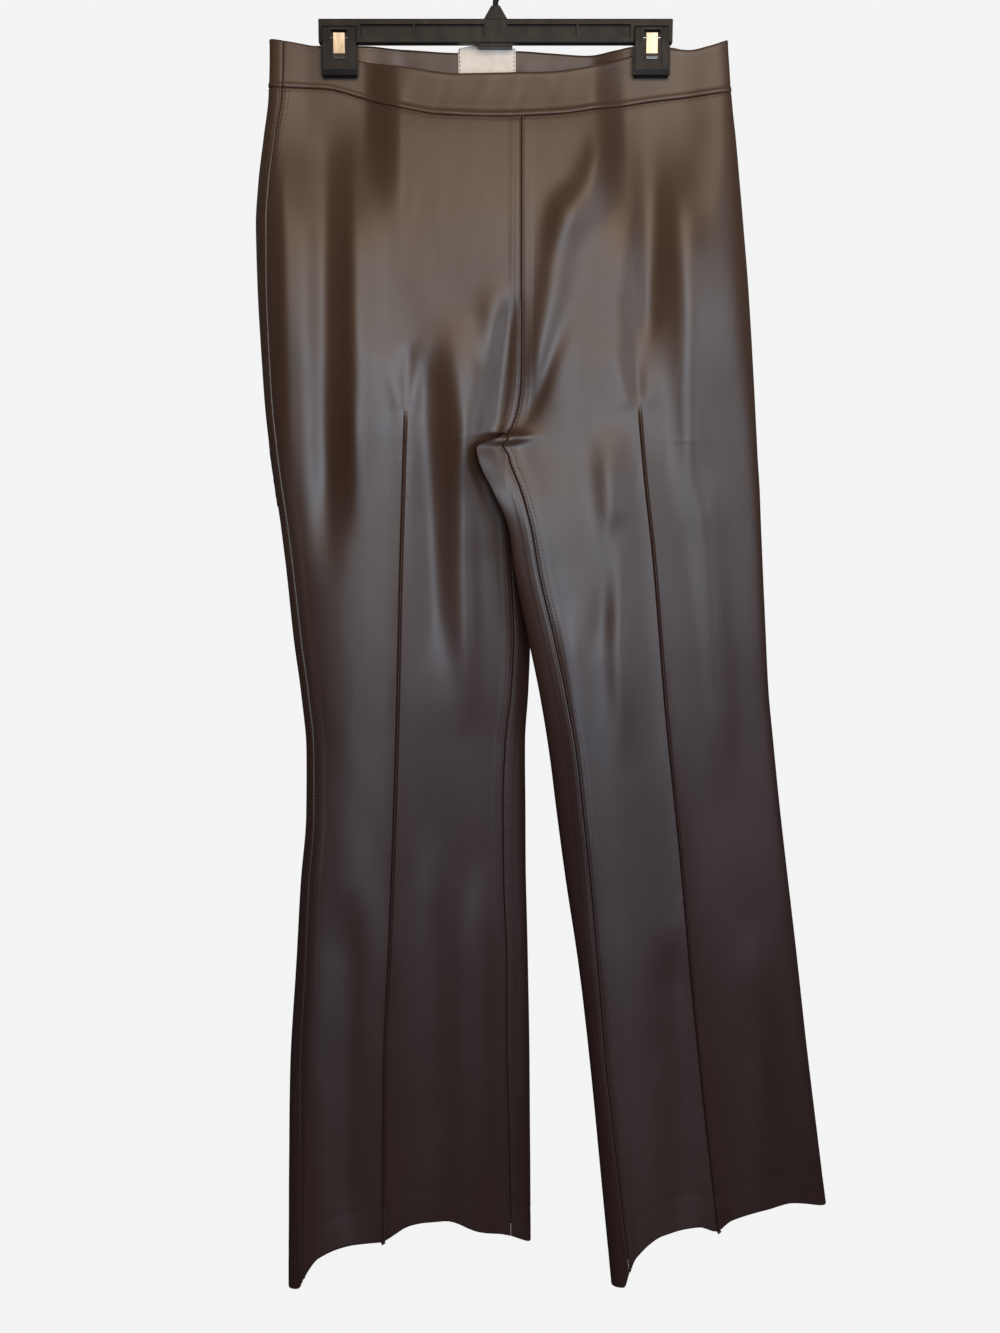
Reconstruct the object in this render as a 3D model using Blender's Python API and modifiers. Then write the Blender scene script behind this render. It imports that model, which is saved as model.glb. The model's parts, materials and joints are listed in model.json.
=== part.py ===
"""Flared trousers of faux leather, hung flat by the waistband from a bar hanger with two clips.

The front of the trousers faces -Y, +Z is up and +X is to the right of somebody who looks at the front.
The origin is the point inside the top of the hanger's hook that rests on a rail.
Left and right are the wearer's, so the right leg is the one at -X.

Each panel of cloth is a wall between an outer and an inner surface. Both surfaces are lofted through
level sections of the leg, whose sizes are the rows of the section tables below, in millimetres.
"""

import math
from collections import namedtuple

import bmesh
import bpy
import numpy as np

MM = 0.001

# Cloth
CLOTH_WALL = 1.2 * MM
BAND_WALL = 2.0 * MM
LABEL_WALL = 0.6 * MM
GAP = 0.3 * MM

# Where the sections lie, from the hook's inside top down
CENTRE_X = 22 * MM
WAIST_Z = -128 * MM
FORK_Z = -417 * MM
FORK_TOP_FRONT = -366 * MM
FORK_TOP_BACK = -330 * MM
FORK_SETTLE_TOP = -290 * MM
HEM_Z = -1178 * MM
WAIST_FADE = 90 * MM
HEM_FADE = 170 * MM

# How a flat-hung tube of cloth rounds off at its folded edges
EDGE_REACH = 55 * MM
SEAT_FULLNESS = 6 * MM

# Pin tucks down the fronts
TUCK_HEIGHT = 2.4 * MM
TUCK_HALF_WIDTH = 1.7 * MM
TUCK_RUN_IN = 26 * MM
CREASE_REACH = 20 * MM

# The hanger
BAR_HALF_LENGTH = 151.5 * MM
BAR_TOP = -67.7 * MM
BAR_BOTTOM = -87.6 * MM
BAR_HALF_DEPTH = 5.5 * MM
BAR_FLANGE = 4.6 * MM
BAR_WEB_HALF = 1.6 * MM
BAR_END_BLOCK = 36 * MM
BAR_RIB_X = 70 * MM
BAR_RIB = 1.6 * MM
BOSS_HALF_WIDTH = 14.5 * MM
BOSS_DROP = 3.5 * MM
GUSSET_FOOT = 9.8 * MM
GUSSET_TOP = 3.6 * MM
GUSSET_RISE = 11 * MM
HOOK_ROD = 2.4 * MM
HOOK_INSIDE = 20 * MM
HOOK_TIP_DEG = 196
HOOK_START_DEG = -58

CLIP_X = 133.3 * MM
CLIP_HALF_WIDTH = 15.8 * MM
CLIP_TOP = -74.3 * MM
CLIP_FOOT = -116.4 * MM
CLIP_GRIP_RISE = 11 * MM
CLIP_FACE_Y = 12.4 * MM
CLIP_LUG = 1.3 * MM
CLOTH_IN_CLIP = 2.5 * MM
HELD_HALF_WIDTH = 25 * MM
HELD_FADE_BESIDE = 56 * MM
HELD_FADE_BELOW = 150 * MM
SPRING_HALF_WIDTH = 4.8 * MM
SPRING_STRIP = 0.8 * MM
SPRING_FOOT = -101.5 * MM
SPRING_PASS_Z = -80.2 * MM

FRONT, BACK = -1.0, 1.0

# How far the corner of each panel stands off the fork's point, aside and along Y, as four seams meet there
FORK_ROOM = {FRONT: (1.0 * MM, -1.0 * MM), BACK: (0.3 * MM, 2.1 * MM)}

# One level section of a leg: the folded edge at the side and at the inner leg, how far back each lies,
# how much further the inner edge turns near the fork, the reach of that edge's rounding, half the depth
# of the tube, and how far each seam lies on the front side of its folded edge (below zero: round on the
# back side).
Section = namedtuple("Section", "z x_out x_in y_out y_in tip reach depth seam_in seam_out")

RIGHT_LEG = [
    Section(-80, -194, 8, 0, -4, -20, 25, 9, 0, 12),
    Section(-130, -196, 8, 0, -4, -20, 25, 13, 0, 12),
    Section(-165, -201, 8, 0, -4, -20, 25, 18, 0, 11),
    Section(-205, -206.5, 8, -1, -4, -20, 25, 22, 0, 11),
    Section(-240, -209, 8, -2, -4, -20, 25, 24, 0, 11),
    Section(-290, -208.5, 8, -4, -4, -20, 25, 25, 0, 10),
    Section(-340, -206.5, 8, -7, -4, -20, 25, 24, 0, 9),
    Section(-400, -203, 8, -10, -4, -20, 25, 20.5, 0, 8),
    Section(-417, -201.5, 8, -11, -4, -20, 25, 18.5, 0, 8),
    Section(-421, -201, 12, -11, -4, 2, 35, 17.5, 8, 8),
    Section(-430, -200.3, 20, -12, -3, 10, 42, 16.2, 14, 8),
    Section(-438, -199.5, 22, -12, -2, 11, 45, 16, 16, 8),
    Section(-467, -195.5, 27, -13, 0, 10, 50, 16, 18, 7.5),
    Section(-500, -191, 30, -14, 2, 9, 55, 16, 18, 7.5),
    Section(-540, -186.5, 31, -16, 4, 7, 55, 16, 17, 7.5),
    Section(-600, -181, 31.5, -18, 6, 4, 55, 16, 15, 8),
    Section(-650, -175, 30, -20, 7, 2, 55, 15.5, 16, 8),
    Section(-700, -171, 27, -22, 9, 0, 55, 15, 18.5, 8),
    Section(-760, -172, 27.5, -24.5, 11, 0, 55, 15, 21, 8.5),
    Section(-820, -177.5, 28, -27, 13, 0, 55, 15.5, 21, 9),
    Section(-900, -183, 30, -30, 15, 0, 55, 17, 20, 10),
    Section(-1000, -190, 32, -34, 18, 0, 55, 18, 21.5, 11),
    Section(-1100, -192.5, 33, -38, 20, 0, 55, 19.5, 20, 13),
    Section(-1215, -194.5, 34, -43, 23, 0, 55, 21, 19, 15),
]

LEFT_LEG = [
    Section(-80, 199, 8, 0, -8, -16, 110, 9, 0, -6),
    Section(-130, 203.4, 8, 0, -8, -16, 110, 13, 0, -6),
    Section(-165, 208, 8, 0, -8, -16, 110, 18, 0, -6),
    Section(-205, 212.5, 8, 0, -8, -16, 110, 22, 0, -6),
    Section(-240, 216.5, 8, 1, -8, -16, 110, 24, 0, -6),
    Section(-290, 222, 8, 2, -8, -16, 110, 25, 0, -6),
    Section(-340, 226.5, 8, 3, -8, -16, 110, 24, 0, -6),
    Section(-400, 231.3, 8, 4, -8, -16, 110, 20.5, 0, -6),
    Section(-417, 232.7, 8, 5, -8, -16, 110, 19.5, 0, -6),
    Section(-421, 233, 3, 5, -10, -22, 110, 18.5, 8, -6),
    Section(-430, 233.8, -16.5, 5, -14, -25, 110, 17, 23, -6),
    Section(-438, 234.4, -15.5, 5, -15, -25, 110, 16.5, 27, -6),
    Section(-467, 237, -3, 6, -16, -18, 90, 16.5, 25, -6),
    Section(-500, 239.2, 11, 7, -18, -12, 75, 16.5, 20, -6),
    Section(-540, 242, 17, 8, -20, -8, 65, 16, 21, -6),
    Section(-600, 246.5, 29, 10, -23, -4, 58, 16, 23, -6),
    Section(-650, 250.5, 39.5, 12, -24.5, -2, 55, 15.5, 23, -6),
    Section(-700, 256.5, 47.7, 14, -26, 0, 55, 15, 24, -6),
    Section(-760, 264.2, 55.3, 16, -27, 0, 55, 15, 23.5, -6),
    Section(-820, 272.7, 63.5, 18, -28, 0, 55, 15.5, 22, -6),
    Section(-900, 284.5, 75.7, 22, -30, 0, 55, 17, 17, -6),
    Section(-1000, 298.5, 87.5, 26, -33, 0, 55, 18, 14, -6),
    Section(-1100, 313.5, 97.5, 30, -37, 0, 55, 19.5, 16, -6),
    Section(-1215, 331, 109, 35, -43, 0, 55, 21, 18, -6),
]

# The line of each pin tuck. The stitching starts at the first row that has a crease depth.
Tuck = namedtuple("Tuck", "z x crease")

RIGHT_TUCK = [
    Tuck(-120, -66, 0),
    Tuck(-300, -74, 0),
    Tuck(-394, -78, 0),
    Tuck(-528, -83.4, 3),
    Tuck(-665, -87.6, 5),
    Tuck(-780, -92, 6),
    Tuck(-890, -97, 7),
    Tuck(-991, -102, 8),
    Tuck(-1215, -105, 11),
]

LEFT_TUCK = [
    Tuck(-120, 108, 0),
    Tuck(-300, 120, 0),
    Tuck(-390, 125.6, 0),
    Tuck(-454, 131.6, 2),
    Tuck(-528, 140.5, 3),
    Tuck(-665, 153.4, 5),
    Tuck(-792, 168, 6),
    Tuck(-891, 178, 7),
    Tuck(-1008, 191, 8),
    Tuck(-1215, 216, 11),
]

# The hem: how low it hangs across the leg, from the inner folded edge (0) to the one at the side (1).
Hem = namedtuple("Hem", "share z")

RIGHT_HEM = [
    Hem(0, -1198), Hem(0.1, -1184), Hem(0.22, -1175), Hem(0.36, -1157), Hem(0.5, -1154),
    Hem(0.6, -1161), Hem(0.76, -1165), Hem(0.87, -1174), Hem(0.95, -1192), Hem(1, -1209),
]

LEFT_HEM = [
    Hem(0, -1207), Hem(0.05, -1190), Hem(0.1, -1170), Hem(0.24, -1155), Hem(0.4, -1153),
    Hem(0.47, -1158), Hem(0.56, -1154), Hem(0.8, -1153), Hem(1, -1165),
]

# Heights along the waistband, across the front and the back.
Edge = namedtuple("Edge", "x z")

WAIST_SEAM_FRONT = [
    Edge(-205, -123), Edge(-147, -125), Edge(-119, -131.5), Edge(-98, -138.5), Edge(-76, -143.5),
    Edge(-48, -148), Edge(3, -149.5), Edge(46, -148.2), Edge(89, -143), Edge(131, -136),
    Edge(174, -131), Edge(210, -126),
]
WAIST_SEAM_BACK = [Edge(-205, -123), Edge(-100, -130), Edge(22, -133), Edge(130, -131), Edge(210, -126)]

BAND_TOP_FRONT = [
    Edge(-205, -81.5), Edge(-184, -84.5), Edge(-160, -88.5), Edge(-148, -91), Edge(-117, -101.5),
    Edge(-81, -107.5), Edge(-32, -113.3), Edge(17, -112.6), Edge(45, -112), Edge(89, -105.8),
    Edge(119, -97), Edge(152, -91.5), Edge(166, -92.5), Edge(184, -89), Edge(210, -80),
]
BAND_TOP_BACK = [
    Edge(-205, -81.5), Edge(-184, -84.5), Edge(-160, -88.3), Edge(-112, -88.6), Edge(-78, -90),
    Edge(-32, -92.5), Edge(18, -91), Edge(47, -92.7), Edge(80, -94.7), Edge(105, -91.5),
    Edge(122, -88.8), Edge(152, -90), Edge(166, -92.5), Edge(184, -89), Edge(210, -80),
]

# The largest folds, each along a straight line. Above zero stands out, below zero is a trough.
Fold = namedtuple("Fold", "x0 z0 x1 z1 width height")

FRONT_FOLDS = [
    Fold(-140, -105, -150, -560, 17, -6.5),
    Fold(-121, -125, -127, -470, 10, 3.5),
    Fold(-184, -150, -186, -520, 10, 3.0),
    Fold(-34, -300, -25, -700, 17, 5.5),
    Fold(-62, -330, -54, -640, 12, -3.0),
    Fold(-60, -760, -52, -1220, 15, 3.0),
    Fold(-14, -800, -10, -1220, 14, 3.0),
    Fold(-137, -820, -142, -1220, 17, -3.5),
    Fold(128, -115, 48, -270, 16, 4.5),
    Fold(60, -200, 33, -400, 14, 3.5),
    Fold(134, -110, 131, -400, 14, -6.0),
    Fold(158, -170, 176, -520, 13, 3.5),
    Fold(96, -400, 118, -720, 14, 4.0),
    Fold(108, -480, 92, -620, 10, -2.0),
    Fold(182, -440, 212, -760, 16, 3.5),
    Fold(160, -860, 176, -1220, 17, -3.5),
    Fold(240, -860, 262, -1220, 18, 3.0),
]
BACK_FOLDS = [
    Fold(-134, -105, -146, -520, 18, -5.5),
    Fold(-90, -150, -84, -480, 16, 3.5),
    Fold(-60, -300, -66, -760, 18, -3.5),
    Fold(-120, -700, -126, -1220, 20, 3.5),
    Fold(134, -110, 142, -500, 18, -5.5),
    Fold(90, -150, 84, -430, 16, 3.5),
    Fold(150, -460, 176, -860, 18, 3.5),
    Fold(210, -780, 236, -1220, 20, -3.5),
]

# The levels of the sections that the panels are lofted through, in millimetres.
HIP_LEVELS = [-150, -175, -205, -240, -275, -310, -340]
FORK_STEPS = 5
LEG_LEVELS = [
    -421, -430, -438, -452, -467, -484, -502, -530, -565, -605, -650, -700, -755, -815, -885, -960, -1040,
    -1110,
]
FRONT_COLUMNS_INNER = 5
FRONT_COLUMNS_OUTER = 5
BACK_COLUMNS = 18
BAND_ROWS = 3

# About how much cloth lies between the inner seam and the tuck, the tuck and the side, and across a back
FRONT_INNER_SPAN = 88 * MM
FRONT_OUTER_SPAN = 110 * MM
BACK_SPAN = 250 * MM

BROWN = (0.075, 0.052, 0.044, 1.0)
BLACK = (0.012, 0.012, 0.013, 1.0)
STEEL = (0.62, 0.62, 0.6, 1.0)
OFF_WHITE = (0.8, 0.77, 0.7, 1.0)


class Curve:
    """A smooth curve through the points of a table that never swings past them."""

    def __init__(self, places, values):
        self.places = np.array(places, float)
        self.values = np.array(values, float)
        steps = np.diff(self.places)
        rises = np.diff(self.values) / steps
        slopes = np.zeros(len(self.values))
        slopes[0], slopes[-1] = rises[0], rises[-1]
        before, after = rises[:-1], rises[1:]
        same_way = before * after > 0
        mean = np.zeros(len(before))
        mean[same_way] = 2 * before[same_way] * after[same_way] / (before + after)[same_way]
        slopes[1:-1] = mean
        self.slopes = slopes

    def __call__(self, place):
        place = np.clip(place, self.places[0], self.places[-1])
        index = np.clip(np.searchsorted(self.places, place) - 1, 0, len(self.places) - 2)
        step = self.places[index + 1] - self.places[index]
        part = (place - self.places[index]) / step
        keep = (1 + 2 * part) * (1 - part) ** 2
        take = part**2 * (3 - 2 * part)
        leave = part * (1 - part) ** 2 * step
        arrive = part**2 * (part - 1) * step
        return (
            keep * self.values[index]
            + take * self.values[index + 1]
            + leave * self.slopes[index]
            + arrive * self.slopes[index + 1]
        )


def down_curve(rows, field):
    """The curve of one column of a table whose rows go down from the top."""
    return Curve([-row.z * MM for row in rows], [getattr(row, field) * MM for row in rows])


def across_curve(rows):
    """The curve of an edge's height along X."""
    return Curve([row.x * MM for row in rows], [row.z * MM for row in rows])


def ease(share):
    """0 to 1 with a level start and end."""
    share = np.clip(share, 0.0, 1.0)
    return share * share * (3 - 2 * share)


def edge_round(distance, reach=EDGE_REACH):
    """1 on the flat of the tube, falling to 0 at the folded edge along a quarter of an ellipse."""
    share = np.clip(distance / reach, 0.0, 1.0)
    return np.sqrt(1 - (1 - share) ** 2)


WAIST_SEAM = {FRONT: across_curve(WAIST_SEAM_FRONT), BACK: across_curve(WAIST_SEAM_BACK)}
BAND_TOP = {FRONT: across_curve(BAND_TOP_FRONT), BACK: across_curve(BAND_TOP_BACK)}
FOLDS = {FRONT: FRONT_FOLDS, BACK: BACK_FOLDS}


def fold_height(side, x, z):
    """How far the folds of one side move the cloth outwards."""
    total = np.zeros(np.broadcast(x, z).shape)
    for fold in FOLDS[side]:
        along_x, along_z = (fold.x1 - fold.x0) * MM, (fold.z1 - fold.z0) * MM
        length = math.hypot(along_x, along_z)
        off_x, off_z = x - fold.x0 * MM, z - fold.z0 * MM
        part = (off_x * along_x + off_z * along_z) / length**2
        aside = (off_x * along_z - off_z * along_x) / length
        window = ease(part / 0.18) * ease((1 - part) / 0.3)
        total = total + fold.height * MM * window * np.exp(-((aside / (fold.width * MM)) ** 2))
    return total


def pinch(x, z):
    """1 where a clip presses the cloth flat, fading out beside and below it."""
    total = np.zeros(np.broadcast(x, z).shape)
    below = np.clip((CLIP_FOOT - 3 * MM - z) / HELD_FADE_BELOW, 0, 1)
    for clip_x in (-CLIP_X, CLIP_X):
        beside = np.clip((np.abs(x - clip_x) - HELD_HALF_WIDTH) / HELD_FADE_BESIDE, 0, 1)
        total = np.maximum(total, (1 - ease(beside)) * (1 - ease(below)))
    return total


class Leg:
    """One leg of the trousers and the half of the hips above it."""

    def __init__(self, sections, tuck, hem):
        fields = [field for field in Section._fields if field != "z"]
        self.curves = {field: down_curve(sections, field) for field in fields}
        self.tuck_x = down_curve(tuck, "x")
        self.crease = down_curve(tuck, "crease")
        self.tuck_top = max(row.z for row in tuck if row.z < -350) * MM
        self.hem = Curve([row.share for row in hem], [row.z * MM for row in hem])
        self.toward_side = math.copysign(1, sections[0].x_out * MM - CENTRE_X)

    def at(self, field, z):
        return self.curves[field](-z)

    def tuck_height(self, side, x, z):
        """The pin tuck's stitched ridge, and the soft crease that it makes."""
        if side == BACK:
            return 0.0
        off = np.abs(x - self.tuck_x(-z))
        run = ease((self.tuck_top - z) / TUCK_RUN_IN)
        ridge = TUCK_HEIGHT * run * np.clip(1 - off / TUCK_HALF_WIDTH, 0, 1)
        return ridge + self.crease(-z) * np.exp(-off / CREASE_REACH)

    def half_depth(self, side, x, z):
        """Half the depth of the tube on one side, with the folds and the pin tuck."""
        seat = SEAT_FULLNESS * np.exp(-(((z + 0.27) / 0.09) ** 2)) if side == BACK else 0.0
        free = self.at("depth", z) + seat + fold_height(side, x, z) + self.tuck_height(side, x, z)
        held = pinch(x, z)
        return free * (1 - held) + CLOTH_IN_CLIP * held

    def leg_point(self, z, angle):
        """A point of the closed leg. The angle is 0 at the inner folded edge and pi at the side."""
        x_in, x_out = self.at("x_in", z), self.at("x_out", z)
        share = (1 - np.cos(angle)) / 2
        width = np.abs(x_out - x_in)
        x = x_in + (x_out - x_in) * share
        y_in, y_out = self.at("y_in", z), self.at("y_out", z)
        middle = y_in + (y_out - y_in) * ease(share)
        inner = edge_round(share * width, self.at("reach", z))
        middle = middle + self.at("tip", z) * (1 - inner)
        rounding = inner * edge_round((1 - share) * width)
        facing = np.where(np.sin(angle) >= 0, FRONT, BACK)
        depth = np.where(facing == FRONT, self.half_depth(FRONT, x, z), self.half_depth(BACK, x, z))
        return x, middle + facing * depth * rounding, share

    def hip_point(self, z, angle):
        """A point of the open half of the hips. The angle is pi/2 at centre front, pi at the side."""
        x_out = self.at("x_out", z)
        x = CENTRE_X - (x_out - CENTRE_X) * np.cos(angle)
        share = np.abs(x - CENTRE_X) / np.abs(x_out - CENTRE_X)
        middle = self.at("y_out", z) * ease(share)
        rounding = edge_round(np.abs(x_out - CENTRE_X) * (1 + np.cos(angle)))
        facing = np.where(np.sin(angle) >= 0, FRONT, BACK)
        depth = np.where(facing == FRONT, self.half_depth(FRONT, x, z), self.half_depth(BACK, x, z))
        return x, middle + facing * depth * rounding

    def seam_angle(self, z, hip):
        """The angle of the side seam."""
        offset = self.at("seam_out", z)
        if hip:
            width = np.abs(self.at("x_out", z) - CENTRE_X)
            turn = np.arccos(1 - np.abs(offset) / width)
        else:
            width = np.abs(self.at("x_out", z) - self.at("x_in", z))
            turn = np.arccos(1 - 2 * np.abs(offset) / width)
        return math.pi - np.sign(offset) * turn

    def inseam_angle(self, z):
        """The angle of the inseam of the closed leg."""
        width = np.abs(self.at("x_out", z) - self.at("x_in", z))
        return np.arccos(1 - 2 * self.at("seam_in", z) / width)

    def x_angle(self, z, x, hip):
        """The angle of a place on the front, from its X."""
        x_out = self.at("x_out", z)
        if hip:
            return np.arccos(-(x - CENTRE_X) / (x_out - CENTRE_X))
        x_in = self.at("x_in", z)
        return np.arccos(1 - 2 * (x - x_in) / (x_out - x_in))

    def front_angle(self, z, place, hip):
        """The angle along a front: place is 0 at the inner edge, 1, 2, 3 across the tuck, 4 at the side."""
        tuck_x = self.tuck_x(-z)
        above = 1 - ease((self.tuck_top - z + 60 * MM) / (60 * MM))
        foot = (TUCK_HALF_WIDTH + 7 * MM * above) * self.toward_side
        inner = math.pi / 2 if hip else self.inseam_angle(z)
        knots = [
            inner + 0 * z,
            self.x_angle(z, tuck_x - foot, hip),
            self.x_angle(z, tuck_x, hip),
            self.x_angle(z, tuck_x + foot, hip),
            self.seam_angle(z, hip),
        ]
        index = np.clip(np.floor(place).astype(int), 0, len(knots) - 2)
        start = np.choose(index, knots)
        end = np.choose(index, knots[1:] + knots[-1:])
        return start + (end - start) * (place - index)

    def back_angle(self, z, place, hip):
        """The angle along a back: place is 0 at the centre back or inseam and 1 at the side seam."""
        if hip:
            return 1.5 * math.pi + (self.seam_angle(z, hip) - 1.5 * math.pi) * place
        level = 2 * math.pi + (self.seam_angle(z, hip) - 2 * math.pi) * place
        return level + self.inseam_angle(z) * (1 - place) ** 3

    def panel_point(self, side, level, place):
        """A point of a panel's outer surface, from the level of its section and its place across."""
        place, level = np.broadcast_arrays(np.asarray(place, float), np.asarray(level, float))
        if side == FRONT:
            top, across, angle_of = FORK_TOP_FRONT, place / 4, self.front_angle
        else:
            top, across, angle_of = FORK_TOP_BACK, place, self.back_angle
        z = level
        for _ in range(3):
            hip_angle = angle_of(z, place, True)
            hip_x, hip_y = self.hip_point(z, hip_angle)
            leg_x, leg_y, share = self.leg_point(z, angle_of(z, place, False))
            drop = np.clip((top - level) / (top - FORK_Z), 0, 1)
            at_fork = 1 - np.sqrt(1 - drop**2)
            settled = ease((FORK_SETTLE_TOP - level) / (FORK_SETTLE_TOP - FORK_Z))
            blend = at_fork + (settled - at_fork) * ease(across / 0.45)
            x = hip_x + (leg_x - hip_x) * blend
            y = hip_y + (leg_y - hip_y) * blend
            in_front = np.sin(hip_angle) >= 0
            seam = np.where(in_front, WAIST_SEAM[FRONT](x), WAIST_SEAM[BACK](x))
            from_waist = (seam - GAP - WAIST_Z) * (1 - ease((WAIST_Z - level) / WAIST_FADE))
            from_hem = (self.hem(share) - HEM_Z) * (1 - ease((level - HEM_Z) / HEM_FADE))
            z = level + from_waist + from_hem
        room = np.exp(-(((level - FORK_Z) / (3 * MM)) ** 2)) * np.clip(1 - across / 0.05, 0, 1)
        aside, off = FORK_ROOM[side]
        return np.stack([x + self.toward_side * aside * room, y + off * room, z], axis=-1)


def wall_surfaces(surface, rows, columns, thickness, outward):
    """The outer surface at each row and column, and the inner one a wall's thickness inside it.

    surface(row, column) gives points. outward is the sign of Y that the middle of the panel faces.
    """
    row, column = np.meshgrid(rows, columns, indexing="ij")
    small_row, small_column = 0.0004, 0.004
    outer = surface(row, column)
    along = surface(row, column + small_column) - surface(row, column - small_column)
    down = surface(row - small_row, column) - surface(row + small_row, column)
    normal = np.cross(along, down)
    normal /= np.linalg.norm(normal, axis=-1, keepdims=True)
    middle = normal[len(rows) // 2, len(columns) // 2, 1]
    normal *= math.copysign(1, middle * outward)
    return outer, outer - normal * thickness


def mesh_object(name, mesh, colour, metallic, roughness, collection):
    """Puts a mesh in the scene as a named object with its own material."""
    obj = bpy.data.objects.new(name, mesh)
    collection.objects.link(obj)
    material = bpy.data.materials.new(name + "_finish")
    material.use_nodes = True
    shader = material.node_tree.nodes["Principled BSDF"]
    shader.inputs["Base Color"].default_value = colour
    shader.inputs["Metallic"].default_value = metallic
    shader.inputs["Roughness"].default_value = roughness
    mesh.materials.append(material)
    return obj


def wall_object(name, outer, inner, colour, roughness, collection):
    """A closed wall between two grids of points of the same size."""
    bm = bmesh.new()
    rows, columns = outer.shape[:2]
    skins = []
    for grid in (outer, inner):
        skins.append([[bm.verts.new(point) for point in line] for line in grid])
    for skin in skins:
        for i in range(rows - 1):
            for j in range(columns - 1):
                bm.faces.new((skin[i][j], skin[i][j + 1], skin[i + 1][j + 1], skin[i + 1][j]))
    ring = [(0, j) for j in range(columns)]
    ring += [(i, columns - 1) for i in range(1, rows)]
    ring += [(rows - 1, j) for j in range(columns - 2, -1, -1)]
    ring += [(i, 0) for i in range(rows - 2, 0, -1)]
    near, far = skins
    for (i, j), (k, m) in zip(ring, ring[1:] + ring[:1]):
        bm.faces.new((near[i][j], near[k][m], far[k][m], far[i][j]))
    bmesh.ops.recalc_face_normals(bm, faces=bm.faces)
    mesh = bpy.data.meshes.new(name)
    bm.to_mesh(mesh)
    bm.free()
    return mesh_object(name, mesh, colour, 0.0, roughness, collection)


def panel_levels():
    """The levels of a panel's sections, with the fork's closer ones."""
    levels = [WAIST_Z] + [z * MM for z in HIP_LEVELS]
    top = levels[-1]
    for step in range(1, FORK_STEPS + 1):
        levels.append(top + (FORK_Z - top) * math.sin(math.pi / 2 * step / FORK_STEPS))
    return np.array(levels + [z * MM for z in LEG_LEVELS] + [-1150 * MM, HEM_Z])


def front_places():
    """The places of a front panel's columns, a hair inside its seams."""
    inner = np.linspace(0, 1, FRONT_COLUMNS_INNER + 1)
    outer = np.linspace(3, 4, FRONT_COLUMNS_OUTER + 1)
    places = np.concatenate([inner, [2.0], outer])
    places[0] += GAP / 2 / FRONT_INNER_SPAN
    places[-1] -= GAP / 2 / FRONT_OUTER_SPAN
    return places


def back_places():
    """The places of a back panel's columns, a hair inside its seams."""
    places = np.linspace(0, 1, BACK_COLUMNS + 1)
    places[0] += GAP / 2 / BACK_SPAN
    places[-1] -= GAP / 2 / BACK_SPAN
    return places


def make_panel(name, leg, side, collection):
    """A front or back panel, from the waist seam to the hem."""
    places = front_places() if side == FRONT else back_places()
    outer, inner = wall_surfaces(
        lambda level, place: leg.panel_point(side, level, place), panel_levels(), places, CLOTH_WALL, side
    )
    return wall_object(name, outer, inner, BROWN, 0.36, collection)


def band_point(legs, side, rise, across):
    """A point of the waistband: rise is 0 at its seam and 1 at its top.

    across is a place of the panel below it, below zero on the right half and above it on the left.
    """
    rise, across = np.broadcast_arrays(np.asarray(rise, float), np.asarray(across, float))
    points = np.zeros(across.shape + (3,))
    for leg, here in ((legs[0], across < 0), (legs[1], across >= 0)):
        place = np.abs(across[here])
        z = np.full(place.shape, WAIST_Z)
        angle_of = leg.front_angle if side == FRONT else leg.back_angle
        for _ in range(4):
            angle = angle_of(z, place, True)
            x, y = leg.hip_point(z, angle)
            front = np.sin(angle) >= 0
            foot = np.where(front, WAIST_SEAM[FRONT](x), WAIST_SEAM[BACK](x))
            top = np.where(front, BAND_TOP[FRONT](x), BAND_TOP[BACK](x))
            z = foot + (top - foot) * rise[here]
        points[here] = np.stack([x, y, z], axis=-1)
    return points


def make_band(name, legs, side, collection):
    """The front or back half of the waistband, between the side seams."""
    places = front_places() if side == FRONT else back_places()
    across = np.concatenate([-places[:0:-1], [0.0], places[1:]])
    outer, inner = wall_surfaces(
        lambda rise, place: band_point(legs, side, rise, place),
        np.linspace(0, 1, BAND_ROWS + 1),
        across,
        BAND_WALL,
        side,
    )
    return wall_object(name, outer, inner, BROWN, 0.36, collection)


def make_label(legs, collection):
    """The blank woven label on the inside of the back waistband, its arched top above the band."""
    half_width, low, arch = 25 * MM, -121 * MM, 4.5 * MM
    centre_x, shoulder = -7.5 * MM, -91 * MM
    columns = np.linspace(-1, 1, 9)
    rows = np.linspace(0, 1, 5)
    rise, side = np.meshgrid(rows, columns, indexing="ij")
    x = centre_x + half_width * side
    top = shoulder + arch * np.cos(side * math.pi / 2) ** 0.6
    z = low + (top - low) * rise
    behind = np.stack([x, label_seat(legs, x, z), z], axis=-1)
    before = behind - np.array([0, LABEL_WALL, 0])
    return wall_object("label", before, behind, OFF_WHITE, 0.85, collection)


def label_seat(legs, x, z):
    """How far back the label lies: just clear of the inner face of the back waistband."""
    seats = []
    for leg in legs:
        inside = np.where(leg.toward_side * (x - CENTRE_X) > 0, x, CENTRE_X)
        _, y = leg.hip_point(z, 2 * math.pi - leg.x_angle(z, inside, True))
        seats.append(y)
    return np.where(x < CENTRE_X, seats[0], seats[1]) - BAND_WALL - GAP


def evaluated_mesh(obj):
    """The object's shape after its modifiers, with its caps welded, as a mesh of its own."""
    graph = bpy.context.evaluated_depsgraph_get()
    mesh = bpy.data.meshes.new_from_object(obj.evaluated_get(graph))
    bm = bmesh.new()
    bm.from_mesh(mesh)
    bmesh.ops.remove_doubles(bm, verts=bm.verts, dist=0.00001)
    bmesh.ops.recalc_face_normals(bm, faces=bm.faces)
    bm.to_mesh(mesh)
    bm.free()
    return mesh


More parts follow.
